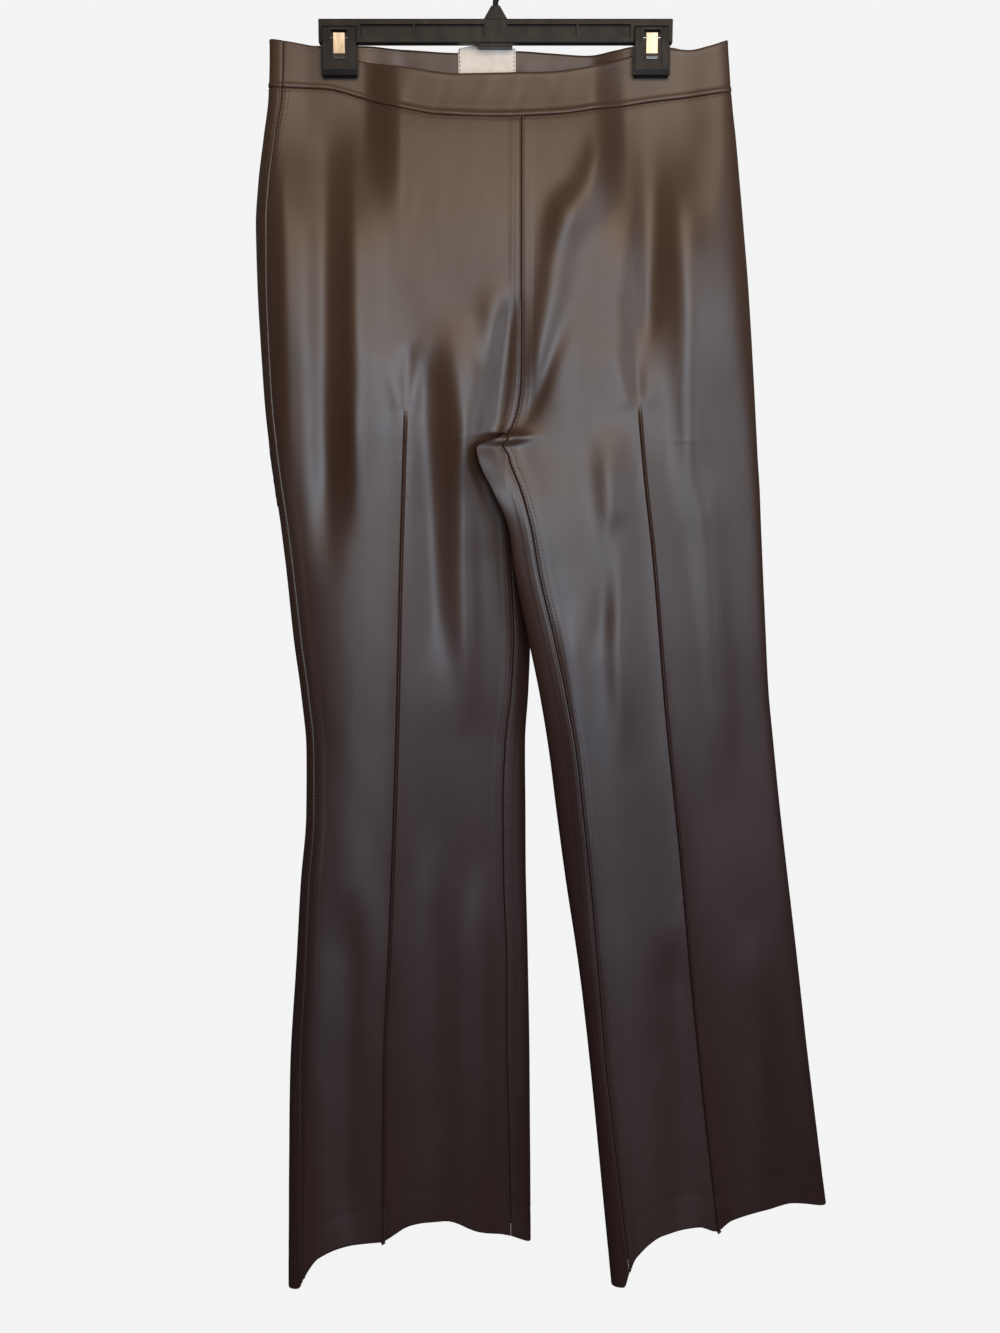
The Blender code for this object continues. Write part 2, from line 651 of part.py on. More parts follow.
def box(name, low, high, collection, bevel=0.0):
    """A box between two corners, with its edges rounded by a Bevel modifier where bevel is set."""
    bpy.ops.mesh.primitive_cube_add(size=1, location=[(a + b) / 2 for a, b in zip(low, high)])
    obj = bpy.context.object
    obj.name = name
    obj.scale = [b - a for a, b in zip(low, high)]
    bpy.ops.object.transform_apply(location=False, rotation=False, scale=True)
    for other in list(obj.users_collection):
        other.objects.unlink(obj)
    collection.objects.link(obj)
    if bevel:
        modifier = obj.modifiers.new("rounded_edges", "BEVEL")
        modifier.width = bevel
        modifier.segments = 2
    return obj


def outline_solid(name, points, half_width, collection, bevel=0.0):
    """A flat outline in Y and Z, given thickness along X on both sides of its own origin."""
    curve = bpy.data.curves.new(name, "CURVE")
    curve.dimensions = "2D"
    curve.fill_mode = "BOTH"
    curve.extrude = half_width
    spline = curve.splines.new("POLY")
    spline.points.add(len(points) - 1)
    for target, (y, z) in zip(spline.points, points):
        target.co = (y, z, 0, 1)
    spline.use_cyclic_u = True
    guide = bpy.data.objects.new(name + "_outline", curve)
    collection.objects.link(guide)
    bpy.context.view_layer.update()
    mesh = evaluated_mesh(guide)
    bpy.data.objects.remove(guide)
    # The outline was drawn in the curve's own X and Y: turn those to the object's Y and Z.
    for vertex in mesh.vertices:
        y, z, x = vertex.co
        vertex.co = (x, y, z)
    obj = bpy.data.objects.new(name, mesh)
    collection.objects.link(obj)
    if bevel:
        modifier = obj.modifiers.new("rounded_edges", "BEVEL")
        modifier.width = bevel
        modifier.segments = 2
        modifier.limit_method = "ANGLE"
    return obj


def boolean(obj, operation, other):
    """Joins or cuts obj with a helper that stays out of the render."""
    modifier = obj.modifiers.new(operation.lower() + "_" + other.name, "BOOLEAN")
    modifier.operation = operation
    modifier.object = other
    other.hide_render = True
    other.display_type = "WIRE"


def finish(obj, colour, metallic, roughness):
    """Gives a modelled solid its own material."""
    material = bpy.data.materials.new(obj.name + "_finish")
    material.use_nodes = True
    shader = material.node_tree.nodes["Principled BSDF"]
    shader.inputs["Base Color"].default_value = colour
    shader.inputs["Metallic"].default_value = metallic
    shader.inputs["Roughness"].default_value = roughness
    obj.data.materials.append(material)


def make_bar(parts, cutters):
    """The bar: a moulded I-section between two solid end blocks, with the boss and gusset of the hook."""
    bar = box(
        "hanger_bar",
        (-BAR_HALF_LENGTH, -BAR_HALF_DEPTH, BAR_BOTTOM),
        (BAR_HALF_LENGTH, BAR_HALF_DEPTH, BAR_TOP),
        parts,
        0.8 * MM,
    )
    web_end = BAR_HALF_LENGTH - BAR_END_BLOCK
    bays = [
        (-web_end, -BAR_RIB_X - BAR_RIB / 2),
        (-BAR_RIB_X + BAR_RIB / 2, -GUSSET_FOOT),
        (GUSSET_FOOT, BAR_RIB_X - BAR_RIB / 2),
        (BAR_RIB_X + BAR_RIB / 2, web_end),
    ]
    for side_name, side in (("front", FRONT), ("back", BACK)):
        near, far = sorted((side * BAR_WEB_HALF, side * (BAR_HALF_DEPTH + 1 * MM)))
        for number, (left, right) in enumerate(bays):
            cutter = box(
                f"bay_{side_name}_{number}",
                (left, near, BAR_BOTTOM + BAR_FLANGE),
                (right, far, BAR_TOP - BAR_FLANGE),
                cutters,
            )
            boolean(bar, "DIFFERENCE", cutter)
    for clip_x in (-CLIP_X, CLIP_X):
        slot = box(
            f"spring_slot_{'right' if clip_x < 0 else 'left'}",
            (clip_x - SPRING_HALF_WIDTH - GAP, -10 * MM, SPRING_PASS_Z - SPRING_STRIP / 2 - GAP),
            (clip_x + SPRING_HALF_WIDTH + GAP, 10 * MM, SPRING_PASS_Z + SPRING_STRIP / 2 + GAP),
            cutters,
        )
        boolean(bar, "DIFFERENCE", slot)
    boss = box(
        "hook_boss",
        (-BOSS_HALF_WIDTH, -BAR_HALF_DEPTH + 1 * MM, BAR_BOTTOM - BOSS_DROP),
        (BOSS_HALF_WIDTH, BAR_HALF_DEPTH - 1 * MM, BAR_BOTTOM + 1 * MM),
        cutters,
    )
    boolean(bar, "UNION", boss)
    gusset = outline_solid(
        "hook_gusset",
        [
            (-GUSSET_FOOT, BAR_TOP - 1 * MM),
            (GUSSET_FOOT, BAR_TOP - 1 * MM),
            (GUSSET_FOOT, BAR_TOP + 0.5 * MM),
            (GUSSET_TOP, BAR_TOP + GUSSET_RISE),
            (-GUSSET_TOP, BAR_TOP + GUSSET_RISE),
            (-GUSSET_FOOT, BAR_TOP + 0.5 * MM),
        ],
        3.6 * MM,
        cutters,
    )
    gusset.rotation_euler = (0, 0, math.pi / 2)
    boolean(bar, "UNION", gusset)
    finish(bar, BLACK, 0.0, 0.4)


def make_hook(parts):
    """The hook: a neck that rises from the gusset and turns over the rail, as one round rod."""
    radius = HOOK_INSIDE + HOOK_ROD
    centre_z = HOOK_ROD - radius
    start, tip = math.radians(HOOK_START_DEG), math.radians(HOOK_TIP_DEG)
    steps = 22
    arc = [start + (tip - start) * step / steps for step in range(steps + 1)]
    path = [(radius * math.cos(angle), centre_z + radius * math.sin(angle)) for angle in arc]
    foot_z = BAR_TOP + GUSSET_RISE + GAP
    bend_z = path[0][1] - 6 * MM
    neck = [(0.0, foot_z), (0.0, foot_z + 4 * MM)]
    for step in range(1, 5):
        share = ease(step / 5)
        neck.append((path[0][0] * share * 0.9, foot_z + 4 * MM + (bend_z - foot_z) * step / 5))
    curve = bpy.data.curves.new("hanger_hook", "CURVE")
    curve.dimensions = "3D"
    curve.bevel_depth = HOOK_ROD
    curve.bevel_resolution = 2
    curve.use_fill_caps = True
    spline = curve.splines.new("POLY")
    points = neck + path
    spline.points.add(len(points) - 1)
    for target, (x, z) in zip(spline.points, points):
        target.co = (x, 0, z, 1)
    hook = bpy.data.objects.new("hanger_hook", curve)
    parts.objects.link(hook)
    finish(hook, BLACK, 0.0, 0.4)


def jaw_outline(side):
    """A jaw seen from the side: a lip that grips the cloth, and a plate that rises past the bar."""
    lip = CLOTH_IN_CLIP + GAP
    clear = BAR_HALF_DEPTH + GAP
    grip_top = CLIP_FOOT + CLIP_GRIP_RISE
    outline = [
        (lip, CLIP_FOOT + 0.8 * MM),
        (lip + 0.8 * MM, CLIP_FOOT),
        (CLIP_FACE_Y - 4.5 * MM, CLIP_FOOT),
        (CLIP_FACE_Y - 1.4 * MM, CLIP_FOOT + 1.6 * MM),
        (CLIP_FACE_Y, CLIP_FOOT + 6 * MM),
        (CLIP_FACE_Y, CLIP_TOP - 14 * MM),
        (CLIP_FACE_Y - 1.2 * MM, CLIP_TOP - 2 * MM),
        (CLIP_FACE_Y - 2.6 * MM, CLIP_TOP),
        (clear, CLIP_TOP),
        (clear, BAR_BOTTOM - 4 * MM),
        (lip, grip_top),
    ]
    return [(side * y, z) for y, z in outline]


def make_clip(word, clip_x, parts, cutters):
    """One clip: two jaws and the bent steel strip that passes through them and the bar's end block."""
    for side_name, side in (("front", FRONT), ("back", BACK)):
        jaw = outline_solid(
            f"clip_{word}_{side_name}_jaw", jaw_outline(side), CLIP_HALF_WIDTH - CLIP_LUG, parts, 0.5 * MM
        )
        jaw.location.x = clip_x
        near, far = sorted((side * (CLIP_FACE_Y - 1.5 * MM), side * (CLIP_FACE_Y + 1 * MM)))
        panel = box(
            f"panel_{word}_{side_name}",
            (clip_x - 8.2 * MM, near, CLIP_FOOT + 8 * MM),
            (clip_x + 8.2 * MM, far, CLIP_TOP + 1 * MM),
            cutters,
        )
        boolean(jaw, "DIFFERENCE", panel)
        slot = box(
            f"jaw_slot_{word}_{side_name}",
            (clip_x - 7 * MM, min(side * 2 * MM, side * 15 * MM), SPRING_PASS_Z - 1.2 * MM),
            (clip_x + 7 * MM, max(side * 2 * MM, side * 15 * MM), SPRING_PASS_Z + 2.2 * MM),
            cutters,
        )
        boolean(jaw, "DIFFERENCE", slot)
        lugs = box(
            f"lug_{word}_{side_name}",
            (clip_x - CLIP_HALF_WIDTH, min(side * 7 * MM, side * 11 * MM), CLIP_FOOT + 1.6 * MM),
            (clip_x + CLIP_HALF_WIDTH, max(side * 7 * MM, side * 11 * MM), BAR_BOTTOM - 4 * MM),
            cutters,
        )
        boolean(jaw, "UNION", lugs)
        finish(jaw, BLACK, 0.0, 0.4)
    make_spring(f"clip_{word}_spring", clip_x, parts)


def make_spring(name, clip_x, parts):
    """The clip's spring: a steel strip bent to a staple, its legs down the outside of both jaws."""
    face = CLIP_FACE_Y - 1.5 * MM + GAP
    half = SPRING_STRIP / 2
    leg = [
        (face + 2 * half + 0.6 * MM, SPRING_FOOT - 0.8 * MM),
        (face + 2 * half + 1.3 * MM, SPRING_FOOT + 1.2 * MM),
        (face + 2 * half, SPRING_FOOT + 4 * MM),
        (face + 2 * half, SPRING_PASS_Z - 0.6 * MM),
        (face + 2 * half - 1.0 * MM, SPRING_PASS_Z + half),
    ]
    inner = [
        (face - 0.2 * MM, SPRING_PASS_Z - half),
        (face, SPRING_PASS_Z - 1.4 * MM),
        (face, SPRING_FOOT + 3.6 * MM),
        (face + 0.9 * MM, SPRING_FOOT + 1.2 * MM),
        (face + 0.3 * MM, SPRING_FOOT - 0.8 * MM),
    ]
    front = [(-y, z) for y, z in leg]
    back_down = [(y, z) for y, z in reversed(leg)]
    back_up = [(y, z) for y, z in reversed(inner)]
    front_down = [(-y, z) for y, z in inner]
    strip = outline_solid(name, front + back_down + back_up + front_down, SPRING_HALF_WIDTH, parts)
    strip.location.x = clip_x
    finish(strip, STEEL, 1.0, 0.25)


def main():
    for obj in list(bpy.data.objects):
        bpy.data.objects.remove(obj)
    parts = bpy.data.collections.new("trousers_on_hanger")
    cutters = bpy.data.collections.new("cutters")
    for collection in (parts, cutters):
        bpy.context.scene.collection.children.link(collection)
    right = Leg(RIGHT_LEG, RIGHT_TUCK, RIGHT_HEM)
    left = Leg(LEFT_LEG, LEFT_TUCK, LEFT_HEM)
    for word, leg in (("right", right), ("left", left)):
        make_panel(f"front_{word}", leg, FRONT, parts)
        make_panel(f"back_{word}", leg, BACK, parts)
    make_band("waistband_front", (right, left), FRONT, parts)
    make_band("waistband_back", (right, left), BACK, parts)
    make_label((right, left), parts)
    make_bar(parts, cutters)
    make_hook(parts)
    make_clip("right", -CLIP_X, parts, cutters)
    make_clip("left", CLIP_X, parts, cutters)


if __name__ == "__main__":
    main()
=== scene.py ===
"""Flared faux leather trousers, hung flat by the waistband from a black bar hanger with two clips.

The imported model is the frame. The cloth pieces here repeat the trousers' form at a fine resolution, with
the folds, puckers, rolled seams and hems that the plain solids leave out. The hanger keeps its solids and
gets its finishes, with the hook, the clip pins and the stitching made here.

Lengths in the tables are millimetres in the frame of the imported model: -Y is the front, +Z is up, and the
origin is the inside of the top of the hook. Left and right are the wearer's.
"""

from __future__ import annotations

import functools
import json
import logging
import math
from dataclasses import dataclass, field
from enum import Enum
from typing import Callable, NamedTuple, Optional, Sequence

import bmesh
import bpy
import numpy as np
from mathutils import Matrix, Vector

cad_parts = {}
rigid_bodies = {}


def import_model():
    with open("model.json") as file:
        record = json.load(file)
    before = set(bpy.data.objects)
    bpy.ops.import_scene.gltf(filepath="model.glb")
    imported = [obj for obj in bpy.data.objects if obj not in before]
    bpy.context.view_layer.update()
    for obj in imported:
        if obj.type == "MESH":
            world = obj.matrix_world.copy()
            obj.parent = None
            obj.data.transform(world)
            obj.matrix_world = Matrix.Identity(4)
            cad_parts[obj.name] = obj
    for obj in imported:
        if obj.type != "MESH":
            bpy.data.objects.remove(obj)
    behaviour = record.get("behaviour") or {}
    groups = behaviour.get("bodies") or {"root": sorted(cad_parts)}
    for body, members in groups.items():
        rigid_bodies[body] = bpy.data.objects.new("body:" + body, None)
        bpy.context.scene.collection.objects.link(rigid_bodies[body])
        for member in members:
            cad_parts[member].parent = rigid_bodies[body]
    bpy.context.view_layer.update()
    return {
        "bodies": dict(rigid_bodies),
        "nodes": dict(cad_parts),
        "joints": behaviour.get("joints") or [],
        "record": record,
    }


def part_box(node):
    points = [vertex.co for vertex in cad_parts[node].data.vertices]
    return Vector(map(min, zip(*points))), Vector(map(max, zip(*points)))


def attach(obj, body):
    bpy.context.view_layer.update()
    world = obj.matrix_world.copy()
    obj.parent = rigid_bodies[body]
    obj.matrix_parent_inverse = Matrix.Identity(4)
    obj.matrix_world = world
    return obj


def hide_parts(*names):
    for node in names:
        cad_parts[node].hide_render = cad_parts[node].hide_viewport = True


LOG = logging.getLogger("trousers")
MM = 0.001
Array = np.ndarray
Colour = tuple[float, float, float, float]
Values = dict[str, object]
Socket = bpy.types.NodeSocket

# About how wide the cloth is, to space its columns and rows: a front to each side of the tuck, a back,
# and half of the back waistband, with the band's height.
INNER_SPAN = 88 * MM
OUTER_SPAN = 110 * MM
BACK_SPAN = 250 * MM
BAND_BACK_SPAN = 190 * MM
BAND_HEIGHT = 41 * MM


class Side(Enum):
    """The half of the garment that a piece belongs to, with the sign of Y that it faces."""

    FRONT = -1.0
    BACK = 1.0


# ---------------------------------------------------------------------------------------------------
# The form of the trousers
# ---------------------------------------------------------------------------------------------------


class LegRow(NamedTuple):
    """One level section of a leg: its folded edges, their turn near the fork, its depth and its seams."""

    z: float
    x_out: float
    x_in: float
    y_out: float
    y_in: float
    tip: float
    reach: float
    depth: float
    seam_in: float
    seam_out: float


class TuckRow(NamedTuple):
    """A point of a pin tuck's line, with the depth of the crease that it makes."""

    z: float
    x: float
    crease: float


class HemRow(NamedTuple):
    """How low the hem hangs at a share of the leg's width, from the inner folded edge to the side's."""

    share: float
    z: float


class EdgeRow(NamedTuple):
    """A point of a waistband edge."""

    x: float
    z: float


class FoldRow(NamedTuple):
    """A fold along a straight line: its ends, its spread to each side of it and its height."""

    x0: float
    z0: float
    x1: float
    z1: float
    left: float
    right: float
    height: float


RIGHT_LEG_ROWS = (
    LegRow(-80, -194, 8, 0, -4, -20, 25, 9, 0, 12),
    LegRow(-130, -196, 8, 0, -4, -20, 25, 13, 0, 12),
    LegRow(-165, -201, 8, 0, -4, -20, 25, 18, 0, 11),
    LegRow(-205, -206.5, 8, -1, -4, -20, 25, 22, 0, 11),
    LegRow(-240, -209, 8, -2, -4, -20, 25, 24, 0, 11),
    LegRow(-290, -208.5, 8, -4, -4, -20, 25, 25, 0, 10),
    LegRow(-340, -206.5, 8, -7, -4, -20, 25, 24, 0, 9),
    LegRow(-400, -203, 8, -10, -4, -20, 25, 20.5, 0, 8),
    LegRow(-417, -201.5, 8, -11, -4, -20, 25, 18.5, 0, 8),
    LegRow(-421, -201, 12, -11, -4, 2, 35, 17.5, 8, 8),
    LegRow(-430, -200.3, 20, -12, -3, 10, 42, 16.2, 14, 8),
    LegRow(-438, -199.5, 22, -12, -2, 11, 45, 16, 16, 8),
    LegRow(-467, -195.5, 27, -13, 0, 10, 50, 16, 18, 7.5),
    LegRow(-500, -191, 30, -14, 2, 9, 64, 16, 18, 7.5),
    LegRow(-540, -186.5, 31, -16, 4, 7, 80, 16, 17, 7.5),
    LegRow(-600, -181, 31.5, -18, 6, 4, 80, 16, 15, 8),
    LegRow(-650, -175, 30, -20, 7, 2, 80, 15.5, 16, 8),
    LegRow(-700, -171, 27, -22, 9, 0, 80, 15, 18.5, 8),
    LegRow(-760, -172, 27.5, -24.5, 11, 0, 80, 15, 21, 8.5),
    LegRow(-820, -177.5, 28, -27, 13, 0, 80, 15.5, 21, 9),
    LegRow(-900, -183, 30, -30, 15, 0, 80, 17, 20, 10),
    LegRow(-1000, -190, 32, -34, 18, 0, 80, 18, 21.5, 11),
    LegRow(-1100, -192.5, 33, -38, 20, 0, 80, 19.5, 20, 13),
    LegRow(-1215, -194.5, 34, -43, 23, 0, 80, 21, 19, 15),
)

LEFT_LEG_ROWS = (
    LegRow(-80, 199, 8, 0, -8, -16, 110, 9, 0, -6),
    LegRow(-130, 203.4, 8, 0, -8, -16, 110, 13, 0, -6),
    LegRow(-165, 208, 8, 0, -8, -16, 110, 18, 0, -6),
    LegRow(-205, 212.5, 8, 0, -8, -16, 110, 22, 0, -6),
    LegRow(-240, 216.5, 8, 1, -8, -16, 110, 24, 0, -6),
    LegRow(-290, 222, 8, 2, -8, -16, 110, 25, 0, -6),
    LegRow(-340, 226.5, 8, 3, -8, -16, 110, 24, 0, -6),
    LegRow(-400, 231.3, 8, 4, -8, -16, 110, 20.5, 0, -6),
    LegRow(-417, 232.7, 8, 5, -8, -16, 110, 19.5, 0, -6),
    LegRow(-421, 233, 3, 5, -10, -22, 110, 18.5, 8, -6),
    LegRow(-430, 233.8, -16.5, 5, -14, -25, 110, 17, 23, -6),
    LegRow(-438, 234.4, -15.5, 5, -15, -25, 110, 16.5, 27, -6),
    LegRow(-467, 237, -3, 6, -16, -18, 90, 16.5, 25, -6),
    LegRow(-500, 239.2, 11, 7, -18, -12, 72, 16.5, 20, -6),
    LegRow(-540, 242, 17, 8, -20, -8, 80, 16, 21, -6),
    LegRow(-600, 246.5, 29, 10, -23, -4, 80, 16, 23, -6),
    LegRow(-650, 250.5, 39.5, 12, -24.5, -2, 80, 15.5, 23, -6),
    LegRow(-700, 256.5, 47.7, 14, -26, 0, 80, 15, 24, -6),
    LegRow(-760, 264.2, 55.3, 16, -27, 0, 80, 15, 23.5, -6),
    LegRow(-820, 272.7, 63.5, 18, -28, 0, 80, 15.5, 22, -6),
    LegRow(-900, 284.5, 75.7, 22, -30, 0, 80, 17, 17, -6),
    LegRow(-1000, 298.5, 87.5, 26, -33, 0, 80, 18, 14, -6),
    LegRow(-1100, 313.5, 97.5, 30, -37, 0, 80, 19.5, 16, -6),
    LegRow(-1215, 331, 109, 35, -43, 0, 80, 21, 18, -6),
)

RIGHT_TUCK_ROWS = (
    TuckRow(-120, -66, 0), TuckRow(-300, -74, 0), TuckRow(-394, -78, 0), TuckRow(-528, -83.4, 3),
    TuckRow(-665, -87.6, 5), TuckRow(-780, -92, 6), TuckRow(-890, -97, 7), TuckRow(-991, -102, 8),
    TuckRow(-1215, -105, 11),
)
LEFT_TUCK_ROWS = (
    TuckRow(-120, 108, 0), TuckRow(-300, 120, 0), TuckRow(-390, 125.6, 0), TuckRow(-454, 131.6, 2),
    TuckRow(-528, 140.5, 3), TuckRow(-665, 153.4, 5), TuckRow(-792, 168, 6), TuckRow(-891, 178, 7),
    TuckRow(-1008, 191, 8), TuckRow(-1215, 216, 11),
)

RIGHT_HEM_ROWS = (
    HemRow(0, -1198), HemRow(0.1, -1184), HemRow(0.22, -1175), HemRow(0.36, -1157), HemRow(0.5, -1154),
    HemRow(0.6, -1161), HemRow(0.76, -1165), HemRow(0.87, -1175), HemRow(0.93, -1194), HemRow(0.955, -1206),
    HemRow(1, -1209),
)
LEFT_HEM_ROWS = (
    HemRow(0, -1207), HemRow(0.05, -1205), HemRow(0.08, -1190), HemRow(0.12, -1174), HemRow(0.24, -1156),
    HemRow(0.4, -1153),
    HemRow(0.47, -1158), HemRow(0.56, -1154), HemRow(0.8, -1153), HemRow(1, -1165),
)

WAIST_SEAM_ROWS = {
    Side.FRONT: (
        EdgeRow(-205, -123), EdgeRow(-147, -125), EdgeRow(-119, -131.5), EdgeRow(-98, -138.5),
        EdgeRow(-76, -143.5), EdgeRow(-48, -148), EdgeRow(3, -149.5), EdgeRow(46, -148.2),
        EdgeRow(89, -143), EdgeRow(131, -136), EdgeRow(174, -131), EdgeRow(210, -126),
    ),
    Side.BACK: (
        EdgeRow(-205, -123), EdgeRow(-100, -130), EdgeRow(22, -133), EdgeRow(130, -131),
        EdgeRow(210, -126),
    ),
}
BAND_TOP_ROWS = {
    Side.FRONT: (
        EdgeRow(-205, -81.5), EdgeRow(-184, -84.5), EdgeRow(-160, -88.5), EdgeRow(-148, -91),
        EdgeRow(-117, -101.5), EdgeRow(-81, -107.5), EdgeRow(-32, -113.3), EdgeRow(17, -112.6),
        EdgeRow(45, -112), EdgeRow(89, -105.8), EdgeRow(119, -97), EdgeRow(152, -91.5),
        EdgeRow(166, -92.5), EdgeRow(184, -89), EdgeRow(210, -80),
    ),
    Side.BACK: (
        EdgeRow(-205, -81.5), EdgeRow(-184, -84.5), EdgeRow(-160, -88.3), EdgeRow(-112, -88.6),
        EdgeRow(-78, -90), EdgeRow(-32, -92.5), EdgeRow(18, -91), EdgeRow(47, -92.7),
        EdgeRow(80, -94.7), EdgeRow(105, -91.5), EdgeRow(122, -88.8), EdgeRow(152, -90),
        EdgeRow(166, -92.5), EdgeRow(184, -89), EdgeRow(210, -80),
    ),
}

FRONT_FOLD_ROWS = (
    # Right leg, from the clip down the side
    FoldRow(-146, -106, -150, -570, 15, 13, -7.0),
    FoldRow(-121, -128, -124, -520, 7, 20, 4.6),
    FoldRow(-183, -150, -185, -520, 9, 9, 3.0),
    # Right leg, between the tuck and the inseam
    FoldRow(-34, -300, -22, -700, 14, 12, 5.5),
    FoldRow(-62, -330, -54, -640, 12, 12, -3.0),
    # Around the fork
    FoldRow(6, -280, -34, -480, 13, 12, 2.8),
    FoldRow(16, -290, -8, -470, 11, 8, -2.8),
    # Puckers over the start of each tuck
    FoldRow(-78, -404, -75, -335, 6, 6, -0.8),
    FoldRow(-81, -402, -101, -340, 8, 9, 0.7),
    FoldRow(-75, -402, -56, -325, 9, 8, 0.7),
    FoldRow(126, -400, 112, -280, 7, 8, -1.5),
    FoldRow(120, -400, 92, -330, 9, 9, 0.9),
    FoldRow(131, -400, 137, -315, 9, 9, 0.8),
    # Lower right leg
    FoldRow(-60, -760, -52, -1220, 15, 15, 3.0),
    FoldRow(-14, -800, -10, -1220, 14, 14, 3.0),
    FoldRow(-137, -820, -142, -1220, 17, 17, -3.5),
    FoldRow(-165, -700, -176, -1100, 10, 12, 1.8),
    # Left leg, from the clip down and across
    FoldRow(130, -112, 48, -270, 14, 18, 5.0),
    FoldRow(62, -200, 33, -400, 12, 15, 4.0),
    FoldRow(134, -106, 131, -400, 14, 14, -6.5),
    FoldRow(158, -170, 176, -520, 11, 15, 4.0),
    FoldRow(96, -400, 118, -720, 12, 15, 4.2),
    FoldRow(108, -480, 92, -620, 10, 10, -2.0),
    FoldRow(182, -440, 212, -760, 13, 17, 4.0),
    FoldRow(60, -560, 92, -860, 10, 12, 2.0),
    FoldRow(160, -860, 176, -1220, 17, 17, -3.5),
    FoldRow(240, -860, 262, -1220, 18, 18, 3.0),
    # Two faint creases pressed across the left thigh
    FoldRow(60, -421.5, 214, -425, 2, 2, 0.16),
    FoldRow(44, -370.5, 86, -372.5, 2, 2, 0.16),
)
BACK_FOLD_ROWS = (
    FoldRow(-134, -106, -146, -520, 18, 18, -5.5),
    FoldRow(-90, -150, -84, -480, 16, 16, 3.5),
    FoldRow(-60, -300, -66, -760, 18, 18, -3.5),
    FoldRow(-120, -700, -126, -1220, 20, 20, 3.5),
    FoldRow(134, -106, 142, -500, 18, 18, -5.5),
    FoldRow(90, -150, 84, -430, 16, 16, 3.5),
    FoldRow(150, -460, 176, -860, 18, 18, 3.5),
    FoldRow(210, -780, 236, -1220, 20, 20, -3.5),
    # Creases under the seat
    FoldRow(-150, -396, -20, -430, 7, 9, -1.8),
    FoldRow(-120, -420, -30, -446, 6, 7, 1.3),
    FoldRow(60, -424, 176, -398, 7, 9, -1.6),
    FoldRow(50, -440, 150, -420, 6, 7, 1.2),
)


class Curve:
    """A smooth curve through the points of a table that never swings past them."""

    def __init__(self, places: Sequence[float], values: Sequence[float]) -> None:
        """Sets the slope at each point.

        Args:
            places: where the points are, rising.
            values: the value at each of them.
        """
        self.places = np.array(places, float)
        self.values = np.array(values, float)
        rises = np.diff(self.values) / np.diff(self.places)
        slopes = np.zeros(len(self.values))
        slopes[0], slopes[-1] = rises[0], rises[-1]
        before, after = rises[:-1], rises[1:]
        same = before * after > 0
        slopes[1:-1][same] = 2 * before[same] * after[same] / (before + after)[same]
        self.slopes = slopes

    def __call__(self, place: Array) -> Array:
        """The curve's value at each place.

        Args:
            place: the places; past either end, the end counts.

        Returns:
            The values.
        """
        place = np.clip(place, self.places[0], self.places[-1])
        index = np.clip(np.searchsorted(self.places, place) - 1, 0, len(self.places) - 2)
        step = self.places[index + 1] - self.places[index]
        part = (place - self.places[index]) / step
        value = (1 + 2 * part) * (1 - part) ** 2 * self.values[index]
        value = value + part**2 * (3 - 2 * part) * self.values[index + 1]
        value = value + part * (1 - part) ** 2 * step * self.slopes[index]
        return value + part**2 * (part - 1) * step * self.slopes[index + 1]


def ease(share: Array) -> Array:
    """0 to 1 with a level start and end."""
    share = np.clip(share, 0.0, 1.0)
    return share * share * (3 - 2 * share)


def edge_round(distance: Array, reach: Array) -> Array:
    """1 on the flat of the tube, falling to 0 at its folded edge along a quarter of an ellipse.

    Args:
        distance: how far in from the edge.
        reach: how far the rounding goes.

    Returns:
        The share of the depth there.
    """
    share = np.clip(distance / reach, 0.0, 1.0)
    return np.sqrt(1 - (1 - share) ** 2)


def edge_curve(rows: Sequence[EdgeRow]) -> Curve:
    """The curve of a waistband edge's height along X."""
    return Curve([row.x * MM for row in rows], [row.z * MM for row in rows])


@dataclass(frozen=True)
class FoldField:
    """All the folds of one half of the garment."""

    rows: tuple[FoldRow, ...]

    def height(self, x: Array, z: Array) -> Array:
        """How far the folds move the cloth outwards.

        Args:
            x: places across.
            z: heights.

        Returns:
            The heights of the folds there, in metres.
        """
        total = np.zeros(np.broadcast(x, z).shape)
        for row in self.rows:
            along_x, along_z = (row.x1 - row.x0) * MM, (row.z1 - row.z0) * MM
            length = math.hypot(along_x, along_z)
            off_x, off_z = x - row.x0 * MM, z - row.z0 * MM
            part = (off_x * along_x + off_z * along_z) / length**2
            aside = (off_x * along_z - off_z * along_x) / length
            spread = np.where(aside > 0, row.left, row.right) * MM
            window = ease(part / 0.18) * ease((1 - part) / 0.3)
            total = total + row.height * MM * window * np.exp(-((aside / spread) ** 2))
        return total


